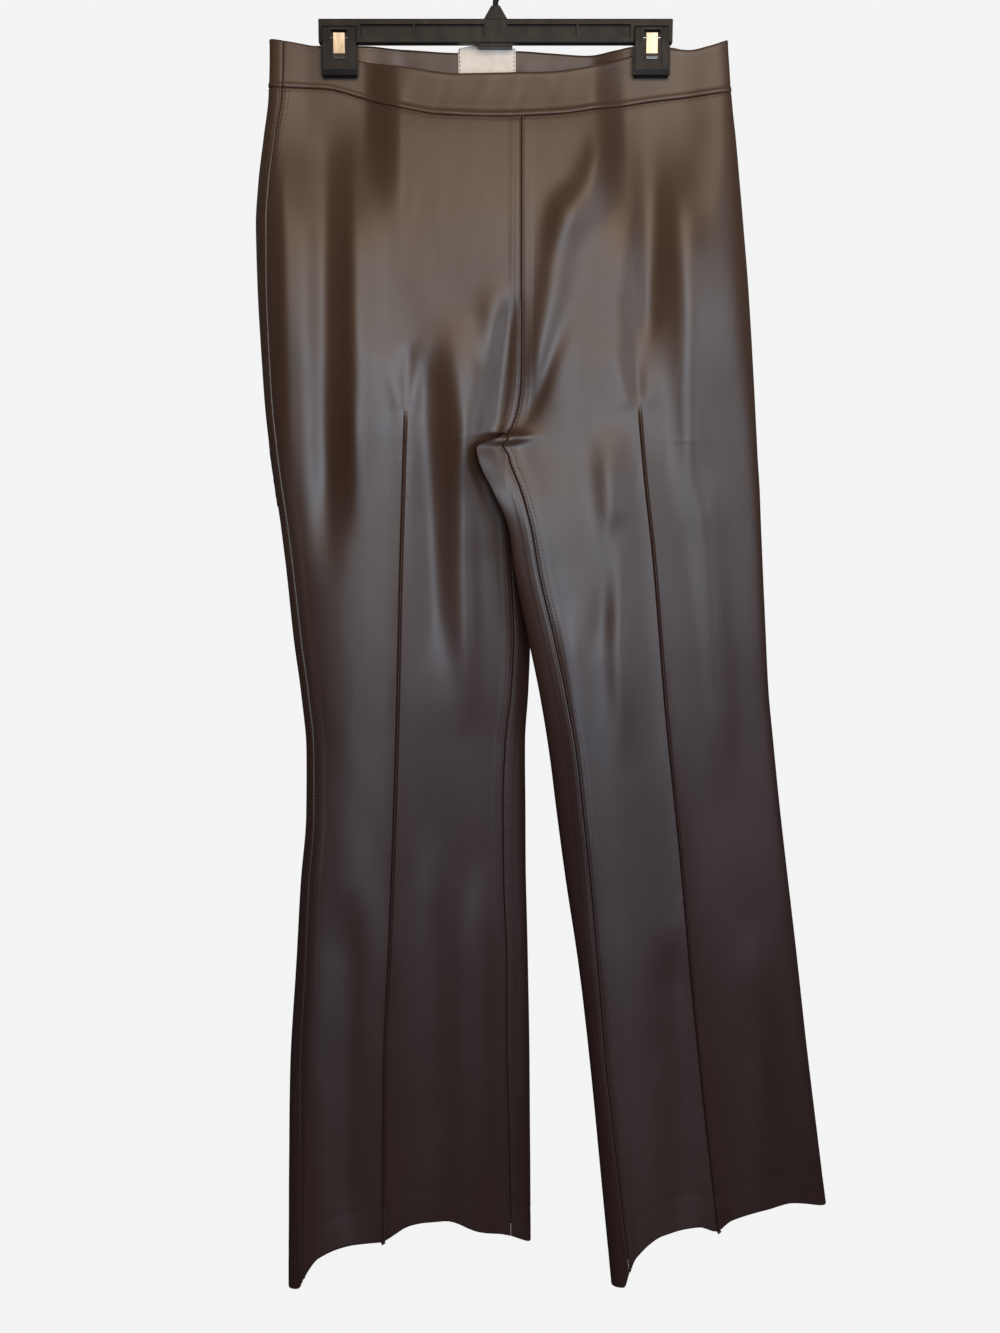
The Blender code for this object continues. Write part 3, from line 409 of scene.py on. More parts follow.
@dataclass(frozen=True)
class GarmentForm:
    """The sizes that both legs share, and the field of folds of each half."""

    centre_x: float = 22 * MM
    waist_z: float = -128 * MM
    fork_z: float = -417 * MM
    fork_top: dict[Side, float] = field(
        default_factory=lambda: {Side.FRONT: -366 * MM, Side.BACK: -330 * MM}
    )
    fork_room: dict[Side, tuple[float, float]] = field(
        default_factory=lambda: {Side.FRONT: (0.7 * MM, -0.7 * MM), Side.BACK: (0.3 * MM, 1.6 * MM)}
    )
    fork_band: tuple[float, float] = (-480 * MM, -410 * MM)
    fork_reach: float = 42 * MM
    fork_share: float = 0.16
    fork_settle: float = -290 * MM
    hem_z: float = -1178 * MM
    waist_fade: float = 90 * MM
    hem_fade: float = 170 * MM
    edge_reach: float = 55 * MM
    leg_reach: float = 84 * MM
    seat_fullness: float = 6 * MM
    tuck_height: float = 2.4 * MM
    tuck_half_width: float = 1.7 * MM
    tuck_run_in: float = 26 * MM
    crease_reach: float = 20 * MM
    gap: float = 0.06 * MM
    clip_x: float = 133.3 * MM
    clip_foot: float = -116.4 * MM
    cloth_in_clip: float = 2.5 * MM
    held_half_width: float = 25 * MM
    held_fade_beside: float = 56 * MM
    held_half_inward: float = 19 * MM
    held_fade_inward: float = 34 * MM
    held_fade_below: float = 150 * MM
    folds: dict[Side, FoldField] = field(
        default_factory=lambda: {Side.FRONT: FoldField(FRONT_FOLD_ROWS), Side.BACK: FoldField(BACK_FOLD_ROWS)}
    )

    def pinch(self, x: Array, z: Array) -> Array:
        """Where the clips press the cloth flat.

        Args:
            x: places across.
            z: heights.

        Returns:
            1 under a clip, fading out beside and below it.
        """
        below = ease((self.clip_foot - 3 * MM - z) / self.held_fade_below)
        total = np.zeros(np.broadcast(x, z).shape)
        inward = np.abs(x) < self.clip_x
        half = np.where(inward, self.held_half_inward, self.held_half_width)
        fade = np.where(inward, self.held_fade_inward, self.held_fade_beside)
        for clip_x in (-self.clip_x, self.clip_x):
            beside = ease((np.abs(x - clip_x) - half) / fade)
            total = np.maximum(total, (1 - beside) * (1 - below))
        return total


class LegForm:
    """The form of one leg and of the half of the hips above it."""

    def __init__(
        self,
        form: GarmentForm,
        sections: Sequence[LegRow],
        tuck: Sequence[TuckRow],
        hem: Sequence[HemRow],
    ) -> None:
        """Makes the curves that run down the leg.

        Args:
            form: the sizes that both legs share.
            sections: the leg's level sections, from the top.
            tuck: the line of its pin tuck, from the top.
            hem: the line of its hem.
        """
        down = [-row.z * MM for row in sections]
        names = [name for name in LegRow._fields if name != "z"]
        self.form = form
        self.curves = {name: Curve(down, [getattr(row, name) * MM for row in sections]) for name in names}
        calm = [row for row in sections if not form.fork_band[0] < row.z * MM < form.fork_band[1]]
        calm_down = [-row.z * MM for row in calm]
        self.calm = {name: Curve(calm_down, [getattr(row, name) * MM for row in calm]) for name in names}
        self.tuck_x = Curve([-row.z * MM for row in tuck], [row.x * MM for row in tuck])
        self.crease = Curve([-row.z * MM for row in tuck], [row.crease * MM for row in tuck])
        self.tuck_top = max(row.z for row in tuck if row.z < -350) * MM
        self.hem = Curve([row.share for row in hem], [row.z * MM for row in hem])
        self.toward_side = math.copysign(1.0, sections[0].x_out * MM - form.centre_x)
        self.waist_seam = {side: edge_curve(rows) for side, rows in WAIST_SEAM_ROWS.items()}

    def at(self, name: str, z: Array) -> Array:
        """One size of the level section at each height."""
        return self.curves[name](-z)

    def tuck_rise(self, side: Side, x: Array, z: Array) -> Array:
        """The pin tuck's stitched ridge and the soft crease that it makes, on the front only.

        Args:
            side: the front or the back.
            x: places across.
            z: heights.

        Returns:
            How far they stand out, in metres.
        """
        if side is Side.BACK:
            return np.zeros(np.broadcast(x, z).shape)
        off = np.abs(x - self.tuck_x(-z))
        run = ease((self.tuck_top - z) / self.form.tuck_run_in)
        ridge = self.form.tuck_height * run * np.clip(1 - off / self.form.tuck_half_width, 0, 1)
        return ridge + self.crease(-z) * np.exp(-off / self.form.crease_reach)

    def half_depth(self, side: Side, x: Array, z: Array) -> Array:
        """Half the depth of the tube on one side, with its folds and its tuck.

        Args:
            side: the front or the back.
            x: places across.
            z: heights.

        Returns:
            The half depths in metres.
        """
        seat = 0.0
        if side is Side.BACK:
            seat = self.form.seat_fullness * np.exp(-(((z + 0.27) / 0.09) ** 2))
        free = self.calm["depth"](-z) + seat + self.form.folds[side].height(x, z) + self.tuck_rise(side, x, z)
        held = self.form.pinch(x, z)
        return free * (1 - held) + self.form.cloth_in_clip * held

    def _depth_of(self, angle: Array, x: Array, z: Array) -> Array:
        """The signed half depth on the side that each angle is on."""
        front = -self.half_depth(Side.FRONT, x, z)
        return np.where(np.sin(angle) >= 0, front, self.half_depth(Side.BACK, x, z))

    def leg_point(self, z: Array, angle: Array) -> tuple[Array, Array, Array]:
        """A point of the closed leg.

        Args:
            z: heights.
            angle: 0 at the inner folded edge and pi at the side, past the front.

        Returns:
            X, Y and the share of the width.
        """
        x_in, x_out = self.at("x_in", z), self.at("x_out", z)
        share = (1 - np.cos(angle)) / 2
        x = x_in + (x_out - x_in) * share
        near, calm = (self._leg_y(curves, z, x, angle) for curves in (self.curves, self.calm))
        away = ease(np.abs(x_out - x_in) * share / self.form.fork_reach)
        return x, near + (calm - near) * away, share

    def _leg_y(self, curves: dict[str, Curve], z: Array, x: Array, angle: Array) -> Array:
        """Y of the closed leg, by one set of its curves.

        Args:
            curves: the sizes of the level sections.
            z: heights.
            x: places across.
            angle: the angles round the leg, as leg_point counts them.

        Returns:
            The values of Y.
        """
        x_in, x_out = curves["x_in"](-z), curves["x_out"](-z)
        y_in, y_out = curves["y_in"](-z), curves["y_out"](-z)
        width = np.abs(x_out - x_in)
        share = np.clip((x - x_in) / (x_out - x_in), 0.0, 1.0)
        inner = edge_round(share * width, curves["reach"](-z))
        middle = y_in + (y_out - y_in) * ease(share) + curves["tip"](-z) * (1 - inner)
        rounding = inner * edge_round((1 - share) * width, self.form.leg_reach)
        return middle + self._depth_of(angle, x, z) * rounding

    def hip_point(self, z: Array, angle: Array) -> tuple[Array, Array]:
        """A point of the open half of the hips.

        Args:
            z: heights.
            angle: pi/2 at centre front and pi at the side.

        Returns:
            X and Y.
        """
        centre = self.form.centre_x
        x_out = self.at("x_out", z)
        x = centre - (x_out - centre) * np.cos(angle)
        share = np.abs(x - centre) / np.abs(x_out - centre)
        rounding = edge_round(np.abs(x_out - centre) * (1 + np.cos(angle)), self.form.edge_reach)
        return x, self.at("y_out", z) * ease(share) + self._depth_of(angle, x, z) * rounding

    def seam_angle(self, z: Array, hip: bool) -> Array:
        """The angle of the side seam.

        Args:
            z: heights.
            hip: whether it is the hips or the closed leg.

        Returns:
            The angles.
        """
        offset = self.at("seam_out", z)
        if hip:
            turn = np.arccos(1 - np.abs(offset) / np.abs(self.at("x_out", z) - self.form.centre_x))
        else:
            turn = np.arccos(1 - 2 * np.abs(offset) / np.abs(self.at("x_out", z) - self.at("x_in", z)))
        return math.pi - np.sign(offset) * turn

    def inseam_angle(self, z: Array) -> Array:
        """The angle of the inseam of the closed leg."""
        return np.arccos(1 - 2 * self.at("seam_in", z) / np.abs(self.at("x_out", z) - self.at("x_in", z)))

    def x_angle(self, z: Array, x: Array, hip: bool) -> Array:
        """The angle of a place on the front.

        Args:
            z: heights.
            x: the places.
            hip: whether it is the hips or the closed leg.

        Returns:
            The angles.
        """
        x_out = self.at("x_out", z)
        if hip:
            return np.arccos(-(x - self.form.centre_x) / (x_out - self.form.centre_x))
        x_in = self.at("x_in", z)
        return np.arccos(1 - 2 * (x - x_in) / (x_out - x_in))

    def front_angle(self, z: Array, place: Array, hip: bool) -> Array:
        """The angle along a front.

        Args:
            z: heights.
            place: 0 at the inner edge, 1, 2 and 3 across the tuck, and 4 at the side.
            hip: whether it is the hips or the closed leg.

        Returns:
            The angles.
        """
        tuck_x = self.tuck_x(-z)
        above = 1 - ease((self.tuck_top - z + 60 * MM) / (60 * MM))
        foot = (self.form.tuck_half_width + 7 * MM * above) * self.toward_side
        knots = [
            (math.pi / 2 if hip else self.inseam_angle(z)) + 0 * z,
            self.x_angle(z, tuck_x - foot, hip),
            self.x_angle(z, tuck_x, hip),
            self.x_angle(z, tuck_x + foot, hip),
            self.seam_angle(z, hip),
        ]
        index = np.clip(np.floor(place).astype(int), 0, len(knots) - 2)
        start = np.choose(index, knots)
        end = np.choose(index, knots[1:] + knots[-1:])
        return start + (end - start) * (place - index)

    def back_angle(self, z: Array, place: Array, hip: bool) -> Array:
        """The angle along a back.

        Args:
            z: heights.
            place: 0 at the centre back or inseam, and 1 at the side seam.
            hip: whether it is the hips or the closed leg.

        Returns:
            The angles.
        """
        if hip:
            return 1.5 * math.pi + (self.seam_angle(z, hip) - 1.5 * math.pi) * place
        level = 2 * math.pi + (self.seam_angle(z, hip) - 2 * math.pi) * place
        return level + self.inseam_angle(z) * (1 - place) ** 3

    def panel_point(self, side: Side, level: Array, place: Array) -> Array:
        """A point of a panel's outer surface.

        Args:
            side: the front or the back panel.
            level: the level of the section, before the waist seam and the hem bend it.
            place: the place across, as front_angle and back_angle count it.

        Returns:
            The points, with X, Y and Z on the last axis.
        """
        form = self.form
        place, level = np.broadcast_arrays(np.asarray(place, float), np.asarray(level, float))
        angle_of = self.front_angle if side is Side.FRONT else self.back_angle
        across = place / 4 if side is Side.FRONT else place
        top = form.fork_top[side]
        z = level
        for _ in range(3):
            hip_angle = angle_of(z, place, True)
            hip_x, hip_y = self.hip_point(z, hip_angle)
            leg_x, leg_y, share = self.leg_point(z, angle_of(z, place, False))
            drop = np.clip((top - level) / (top - form.fork_z), 0, 1)
            at_fork = 1 - np.sqrt(1 - drop**2)
            settled = ease((form.fork_settle - level) / (form.fork_settle - form.fork_z))
            blend = at_fork + (settled - at_fork) * ease(across / form.fork_share)
            x = hip_x + (leg_x - hip_x) * blend
            y = hip_y + (leg_y - hip_y) * blend
            in_front = np.sin(hip_angle) >= 0
            seam = np.where(in_front, self.waist_seam[Side.FRONT](x), self.waist_seam[Side.BACK](x))
            near_waist = 1 - ease((form.waist_z - level) / form.waist_fade)
            near_hem = 1 - ease((level - form.hem_z) / form.hem_fade)
            from_waist = (seam - form.gap - form.waist_z) * near_waist
            from_hem = (self.hem(share) - form.hem_z) * near_hem
            z = level + from_waist + from_hem
        room = np.exp(-(((level - form.fork_z) / (3 * MM)) ** 2)) * np.clip(1 - across / 0.05, 0, 1)
        aside, off = form.fork_room[side]
        return np.stack([x + self.toward_side * aside * room, y + off * room, z], axis=-1)


# ---------------------------------------------------------------------------------------------------
# Cloth meshes
# ---------------------------------------------------------------------------------------------------


@dataclass
class ClothGrid:
    """The outer surface of a piece of cloth as rows and columns of points, with its normals."""

    points: Array
    normals: Array
    row_places: Array
    column_places: Array

    @classmethod
    def sampled(
        cls, surface: Callable[[Array, Array], Array], rows: Array, columns: Array, side: Side
    ) -> "ClothGrid":
        """Samples a surface.

        Args:
            surface: gives points for rows and columns.
            rows: where the rows are.
            columns: where the columns are.
            side: the way that the cloth faces.

        Returns:
            The grid, with normals that point out of the garment.
        """
        row, column = np.meshgrid(rows, columns, indexing="ij")
        points = surface(row, column)
        grid = cls(points, np.zeros_like(points), rows, columns)
        grid.set_normals(side)
        return grid

    def set_normals(self, side: Side) -> None:
        """Works out each point's normal from its neighbours.

        Args:
            side: the way that the cloth faces.
        """
        along = np.gradient(self.points, axis=1)
        down = np.gradient(self.points, axis=0)
        normal = np.cross(along, down)
        length = np.linalg.norm(normal, axis=-1, keepdims=True)
        normal = normal / np.maximum(length, 1e-12)
        rows, columns = normal.shape[:2]
        facing = normal[rows // 2, columns // 2, 1] * side.value
        self.normals = normal * math.copysign(1.0, facing)

    def across(self) -> tuple[Array, Array]:
        """Measures the cloth along its rows.

        Returns:
            How far each point is from the first and from the last column.
        """
        steps = np.linalg.norm(np.diff(self.points, axis=1), axis=-1)
        first = np.concatenate([np.zeros((len(steps), 1)), np.cumsum(steps, axis=1)], axis=1)
        return first, first[:, -1:] - first

    def down(self) -> tuple[Array, Array]:
        """Measures the cloth along its columns.

        Returns:
            How far each point is from the first and from the last row.
        """
        steps = np.linalg.norm(np.diff(self.points, axis=0), axis=-1)
        first = np.concatenate([np.zeros((1, steps.shape[1])), np.cumsum(steps, axis=0)], axis=0)
        return first, first[-1:] - first

    def push(self, heights: Array) -> None:
        """Moves the points along their normals."""
        self.points = self.points + self.normals * heights[..., None]

    def line_across(self, distance: float, from_first: bool) -> "ThreadLine":
        """The line that keeps its distance from one of the two side edges.

        Args:
            distance: how far in it runs.
            from_first: whether it keeps to the first column's edge.

        Returns:
            The line, with a point for each row.
        """
        first, last = self.across()
        measure = first if from_first else last[:, ::-1]
        ends = self.points if from_first else self.points[:, ::-1]
        outs = self.normals if from_first else self.normals[:, ::-1]
        return ThreadLine(_at_distance(measure, ends, distance), _at_distance(measure, outs, distance))

    def line_down(self, distance: float, from_first: bool) -> "ThreadLine":
        """The line that keeps its distance from the top or the bottom edge.

        Args:
            distance: how far in it runs.
            from_first: whether it keeps to the first row's edge.

        Returns:
            The line, with a point for each column.
        """
        points, normals = self.points.transpose(1, 0, 2), self.normals.transpose(1, 0, 2)
        turned = ClothGrid(points, normals, self.column_places, self.row_places)
        return turned.line_across(distance, from_first)


def _at_distance(measure: Array, values: Array, distance: float) -> Array:
    """The values at one distance along each row.

    Args:
        measure: how far along its row each point is.
        values: each point's values.
        distance: the distance.

    Returns:
        One value for each row.
    """
    lines = [
        [np.interp(distance, row, values[i, :, axis]) for axis in range(3)] for i, row in enumerate(measure)
    ]
    return np.array(lines)


@dataclass
class ThreadLine:
    """The line of a row of stitches, with the way out of the cloth at each point."""

    points: Array
    outward: Array

    def part(self, keep: Array) -> "ThreadLine":
        """The points of the line that a mask keeps."""
        return ThreadLine(self.points[keep], self.outward[keep])


def wall_mesh(name: str, outer: Array, inner: Array) -> bpy.types.Object:
    """A closed smooth-shaded wall between two grids of the same size.

    Args:
        name: the object's name.
        outer: the outer surface's points.
        inner: the inner surface's points.

    Returns:
        The object, linked to the scene, with a UV map that measures the cloth in metres.
    """
    rows, columns = outer.shape[:2]
    count = rows * columns
    index = np.arange(count).reshape(rows, columns)
    quads = np.stack([index[:-1, :-1], index[:-1, 1:], index[1:, 1:], index[1:, :-1]], -1).reshape(-1, 4)
    ring = np.concatenate([index[0], index[1:, -1], index[-1, -2::-1], index[-2:0:-1, 0]])
    following = np.roll(ring, -1)
    rim = np.stack([ring, following, following + count, ring + count], -1)
    middle = quads[len(quads) // 2]
    corners = outer.reshape(-1, 3)[middle]
    normal = np.cross(corners[1] - corners[0], corners[3] - corners[0])
    outward = float(normal @ (corners[0] - inner.reshape(-1, 3)[middle[0]])) > 0
    outer_faces = quads if outward else quads[:, ::-1]
    inner_faces = (quads[:, ::-1] if outward else quads) + count
    rim_faces = rim[:, ::-1] if outward else rim
    faces = np.concatenate([outer_faces, inner_faces, rim_faces])
    points = np.concatenate([outer.reshape(-1, 3), inner.reshape(-1, 3)])
    mesh = bpy.data.meshes.new(name)
    mesh.from_pydata(points.tolist(), [], faces.tolist())
    mesh.polygons.foreach_set("use_smooth", np.ones(len(faces), bool))
    grid = ClothGrid(outer, outer, np.arange(rows), np.arange(columns))
    u = np.tile(grid.across()[0].reshape(-1), 2)
    v = np.tile(-grid.down()[0].reshape(-1), 2)
    layer = mesh.uv_layers.new(name="cloth")
    corners = faces.reshape(-1)
    layer.data.foreach_set("uv", np.stack([u[corners], v[corners]], -1).reshape(-1).astype(np.float32))
    mesh.update()
    return in_scene(name, mesh)


def in_scene(name: str, data: bpy.types.ID) -> bpy.types.Object:
    """Puts a mesh, curve, light or camera in the scene as an object.

    Args:
        name: the object's name.
        data: what it shows.

    Returns:
        The object.
    """
    obj = bpy.data.objects.new(name, data)
    bpy.context.scene.collection.objects.link(obj)
    return obj


@dataclass(frozen=True)
class Groove:
    """A soft groove along an edge of the cloth: its distance from the edge, its depth and its spread."""

    at: float
    depth: float
    spread: float

    def height(self, distance: Array) -> Array:
        """How far it moves the cloth outwards, at each distance from the edge."""
        return -self.depth * np.exp(-(((distance - self.at) / self.spread) ** 2))


@dataclass(frozen=True)
class Ripple:
    """A smooth uneven wave of the cloth: its phase past the piece's own, its length and its height."""

    phase: float
    wave: float
    high: float

    def height(self, length: Array, phase: float) -> Array:
        """How far it moves the cloth outwards, at each place along a length."""
        return self.high * wander(length, phase + self.phase, self.wave)


def wander(length: Array, phase: float, wave: float) -> Array:
    """A smooth uneven wave between about -1 and 1 along a length, the same on every run.

    Args:
        length: the places along it.
        phase: where the wave starts.
        wave: how long a wave is.

    Returns:
        The wave's value at each place.
    """
    turn = 2 * math.pi / wave
    first = np.sin(length * turn + phase) * 0.55
    second = np.sin(length * turn * 1.71 + phase * 2.3 + 1.1) * 0.3
    return first + second + np.sin(length * turn * 0.43 + phase * 0.7 + 2.0) * 0.3


# ---------------------------------------------------------------------------------------------------
# Finishes
# ---------------------------------------------------------------------------------------------------


class Nodes:
    """A small helper that builds one node tree, left to right."""

    def __init__(self, tree: bpy.types.NodeTree) -> None:
        """Starts on a tree."""
        self.tree = tree

    def add(self, kind: str, inputs: Optional[Values] = None, **settings: object) -> bpy.types.Node:
        """Adds a node.

        Args:
            kind: the node's type.
            inputs: for each input, by name, the socket that feeds it or its value.
            **settings: the node's properties, set before its inputs.

        Returns:
            The node.
        """
        node = self.tree.nodes.new(kind)
        for name, value in settings.items():
            setattr(node, name, value)
        for name, value in (inputs or {}).items():
            self.feed(node.inputs[name], value)
        return node

    def feed(self, end: Socket, value: object) -> None:
        """Links a socket to an input, or sets the input's value.

        Args:
            end: the input.
            value: the socket, number or colour that it takes.
        """
        if isinstance(value, Socket):
            self.tree.links.new(value, end)
        else:
            end.default_value = value

    def place(self, coordinate: str) -> Socket:
        """The place on the piece, as Object or UV coordinates."""
        return self.add("ShaderNodeTexCoord").outputs[coordinate]

    def math(self, operation: str, first: object, second: object) -> Socket:
        """Works on two numbers.

        Args:
            operation: what the Math node does.
            first: a socket or a number.
            second: a socket or a number.

        Returns:
            The result's socket.
        """
        node = self.add("ShaderNodeMath", operation=operation)
        self.feed(node.inputs[0], first)
        self.feed(node.inputs[1], second)
        return node.outputs[0]

    def mixed(self, factor: object, first: object, second: object, blend: str = "MIX") -> Socket:
        """Mixes two colours.

        Args:
            factor: the second one's share.
            first: a socket or a colour.
            second: a socket or a colour.
            blend: how they mix.

        Returns:
            The mixed colour's socket.
        """
        inputs = {"Factor": factor, "A": first, "B": second}
        return self.add("ShaderNodeMix", inputs, data_type="RGBA", blend_type=blend).outputs["Result"]

    def spread(self, value: object, taken: tuple, given: tuple = (0.0, 1.0), **settings: object) -> Socket:
        """Maps a number from one range to another.

        Args:
            value: the number's socket.
            taken: the low and high end of its own range.
            given: the low and high end of the new range, each a socket or a number.
            **settings: the Map Range node's properties.

        Returns:
            The mapped number's socket.
        """
        ends = {"From Min": taken[0], "From Max": taken[1], "To Min": given[0], "To Max": given[1]}
        return self.add("ShaderNodeMapRange", {"Value": value, **ends}, **settings).outputs["Result"]

    def clouds(self, place: Socket, scale: float, low: float, high: float) -> Socket:
        """Places the shared group of slow clouds.

        Args:
            place: the place's socket.
            scale: how fine the clouds are.
            low: the value in the dark of the clouds.
            high: the value in their light.

        Returns:
            The value's socket.
        """
        group = bpy.data.node_groups.get("slow_clouds") or cloud_group()
        inputs = {"Vector": place, "Scale": scale, "Low": low, "High": high}
        return self.add("ShaderNodeGroup", inputs, node_tree=group).outputs["Value"]

    def pebbles(self, place: Socket, cells: float, fine: float) -> Socket:
        """Places the shared group of pebbled grain.

        Args:
            place: the place's socket.
            cells: how fine the pebbles are.
            fine: how fine the noise on them is.

        Returns:
            The height's socket.
        """
        group = bpy.data.node_groups.get("pebble_grain") or pebble_group()
        inputs = {"Vector": place, "Cells": cells, "Fine": fine}
        return self.add("ShaderNodeGroup", inputs, node_tree=group).outputs["Height"]

    def bump(self, height: Socket, strength: float, distance: float) -> Socket:
        """Turns a height to a normal.

        Args:
            height: the height's socket.
            strength: how strong the relief is.
            distance: the height of the relief in metres.

        Returns:
            The normal's socket.
        """
        inputs = {"Height": height, "Strength": strength, "Distance": distance}
        return self.add("ShaderNodeBump", inputs).outputs["Normal"]


def new_group(name: str, values: dict[str, float], output: str) -> Nodes:
    """Makes a shader node group that takes a place and some numbers and gives one number.

    Args:
        name: the group's name.
        values: each number that it takes, with its usual value.
        output: the name of the number that it gives.

    Returns:
        A helper on the group's tree, which holds its Group Input and Group Output nodes.
    """
    tree = bpy.data.node_groups.new(name, "ShaderNodeTree")
    tree.interface.new_socket("Vector", in_out="INPUT", socket_type="NodeSocketVector")
    for label, value in values.items():
        tree.interface.new_socket(label, in_out="INPUT", socket_type="NodeSocketFloat").default_value = value
    tree.interface.new_socket(output, in_out="OUTPUT", socket_type="NodeSocketFloat")
    nodes = Nodes(tree)
    nodes.add("NodeGroupInput", name="in")
    nodes.add("NodeGroupOutput", name="out")
    return nodes


def pebble_group() -> bpy.types.NodeTree:
    """A pebbled grain: cells with soft valleys between them, broken up by a finer noise.

    Returns:
        The group's tree.
    """
    nodes = new_group("pebble_grain", {"Cells": 900.0, "Fine": 2600.0}, "Height")
    start, end = nodes.tree.nodes["in"].outputs, nodes.tree.nodes["out"].inputs
    size = {"Vector": start["Vector"], "Scale": start["Cells"], "Smoothness": 0.35}
    cells = nodes.add("ShaderNodeTexVoronoi", size, feature="SMOOTH_F1").outputs["Distance"]
    noise = {"Vector": start["Vector"], "Scale": start["Fine"], "Detail": 3.0}
    fine = nodes.add("ShaderNodeTexNoise", noise).outputs["Fac"]
    valley = nodes.math("MULTIPLY", cells, -1.0)
    nodes.feed(end["Height"], nodes.math("ADD", valley, nodes.math("MULTIPLY", fine, 0.35)))
    return nodes.tree


def cloud_group() -> bpy.types.NodeTree:
    """Slow uneven clouds, stretched along the piece, for tone and gloss that change over a surface.

    Returns:
        The group's tree.
    """
    nodes = new_group("slow_clouds", {"Scale": 9.0, "Low": 0.0, "High": 1.0}, "Value")
    start, end = nodes.tree.nodes["in"].outputs, nodes.tree.nodes["out"].inputs
    stretched = nodes.add("ShaderNodeMapping", {"Vector": start["Vector"], "Scale": (1.0, 1.0, 0.35)})
    look = {"Vector": stretched.outputs["Vector"], "Scale": start["Scale"], "Detail": 4.0, "Roughness": 0.55}
    noise = nodes.add("ShaderNodeTexNoise", look).outputs["Fac"]
    nodes.feed(end["Value"], nodes.spread(noise, (0.3, 0.7), (start["Low"], start["High"])))
    return nodes.tree


def shaded(colour: Colour, amount: float) -> Colour:
    """The colour made darker or lighter."""
    return tuple(part * amount for part in colour[:3]) + (1.0,)


def finished(name: str, look: Callable[[Nodes], Values]) -> bpy.types.Material:
    """Makes a material of one Principled shader.

    Args:
        name: the material's name.
        look: builds the nodes and gives what each input of the shader takes.

    Returns:
        The material.
    """
    material = bpy.data.materials.new(name)
    material.use_nodes = True
    nodes = Nodes(material.node_tree)
    shader = material.node_tree.nodes["Principled BSDF"]
    for label, value in look(nodes).items():
        nodes.feed(shader.inputs[label], value)
    return material


@dataclass(frozen=True)
class FauxLeather:
    """Dark brown coated cloth with a soft lustre, its base colour painted with warm light at the hips and
    with darker, cooler shade down the legs.
    """

    name: str = "faux_leather"
    # Painted light and shade over the cloth's own dark brown: the hip colour holds painted warm light, and
    # the leg colour holds painted shade.
    hip: Colour = (0.058, 0.030, 0.016, 1.0)
    leg: Colour = (0.027, 0.0115, 0.010, 1.0)
    painted_light_hip_z: float = -0.22
    painted_shade_leg_z: float = -0.78
    shade: tuple[float, float] = (0.84, 1.16)
    shade_scale: float = 7.0
    gloss: tuple[float, float] = (0.37, 0.45)
    gloss_scale: float = 16.0
    grain: float = 0.05
    grain_height: float = 0.4 * MM

    def look(self, nodes: Nodes) -> Values:
        """Builds the nodes of the finish.

        Args:
            nodes: a helper on the material's tree.

        Returns:
            What each input of the shader takes.
        """
        place = nodes.place("Object")
        z = nodes.add("ShaderNodeSeparateXYZ", {"Vector": place}).outputs["Z"]
        # Painted light and shade: the base colour runs from the leg's painted shade low down to the hip's
        # painted warm light higher up.
        painted_light_share = nodes.spread(z, (self.painted_shade_leg_z, self.painted_light_hip_z), interpolation_type="SMOOTHSTEP")
        tone = nodes.mixed(painted_light_share, self.leg, self.hip)
        clouds = nodes.clouds(place, self.shade_scale, *self.shade)
        return {
            "Base Color": nodes.mixed(1.0, tone, clouds, "MULTIPLY"),
            "Roughness": nodes.clouds(place, self.gloss_scale, *self.gloss),
            "Normal": nodes.bump(nodes.pebbles(place, 900.0, 2400.0), self.grain, self.grain_height),
            "Specular IOR Level": 0.55,
        }


@dataclass(frozen=True)
class ClothBacking:
    """The knitted backing that shows inside the waist and the legs: matt dark brown."""

    name: str = "knit_backing"
    colour: Colour = (0.03, 0.02, 0.017, 1.0)
    rib_scale: float = 260.0
    rib_height: float = 0.2 * MM

    def look(self, nodes: Nodes) -> Values:
        """Builds the nodes of the finish.

        Args:
            nodes: a helper on the material's tree.

        Returns:
            What each input of the shader takes.
        """
        ribs = {"Vector": nodes.place("UV"), "Scale": self.rib_scale, "Distortion": 1.0}
        wave = nodes.add("ShaderNodeTexWave", ribs, wave_type="BANDS", bands_direction="X").outputs["Fac"]
        return {
            "Base Color": nodes.mixed(wave, shaded(self.colour, 0.75), self.colour),
            "Roughness": 0.85,
            "Normal": nodes.bump(wave, 0.3, self.rib_height),
        }


@dataclass(frozen=True)
class SewingThread:
    """Twisted polyester thread, a shade darker than the cloth."""

    name: str = "sewing_thread"
    colour: Colour = (0.03, 0.019, 0.015, 1.0)
    twist_scale: float = 700.0

    def look(self, nodes: Nodes) -> Values:
        """Builds the nodes of the finish.

        Args:
            nodes: a helper on the material's tree.

        Returns:
            What each input of the shader takes.
        """
        twist = {"Vector": nodes.place("Object"), "Scale": self.twist_scale}
        noise = nodes.add("ShaderNodeTexNoise", twist).outputs["Fac"]
        tone = nodes.mixed(noise, shaded(self.colour, 0.6), shaded(self.colour, 1.4))
        return {"Base Color": tone, "Roughness": 0.5}


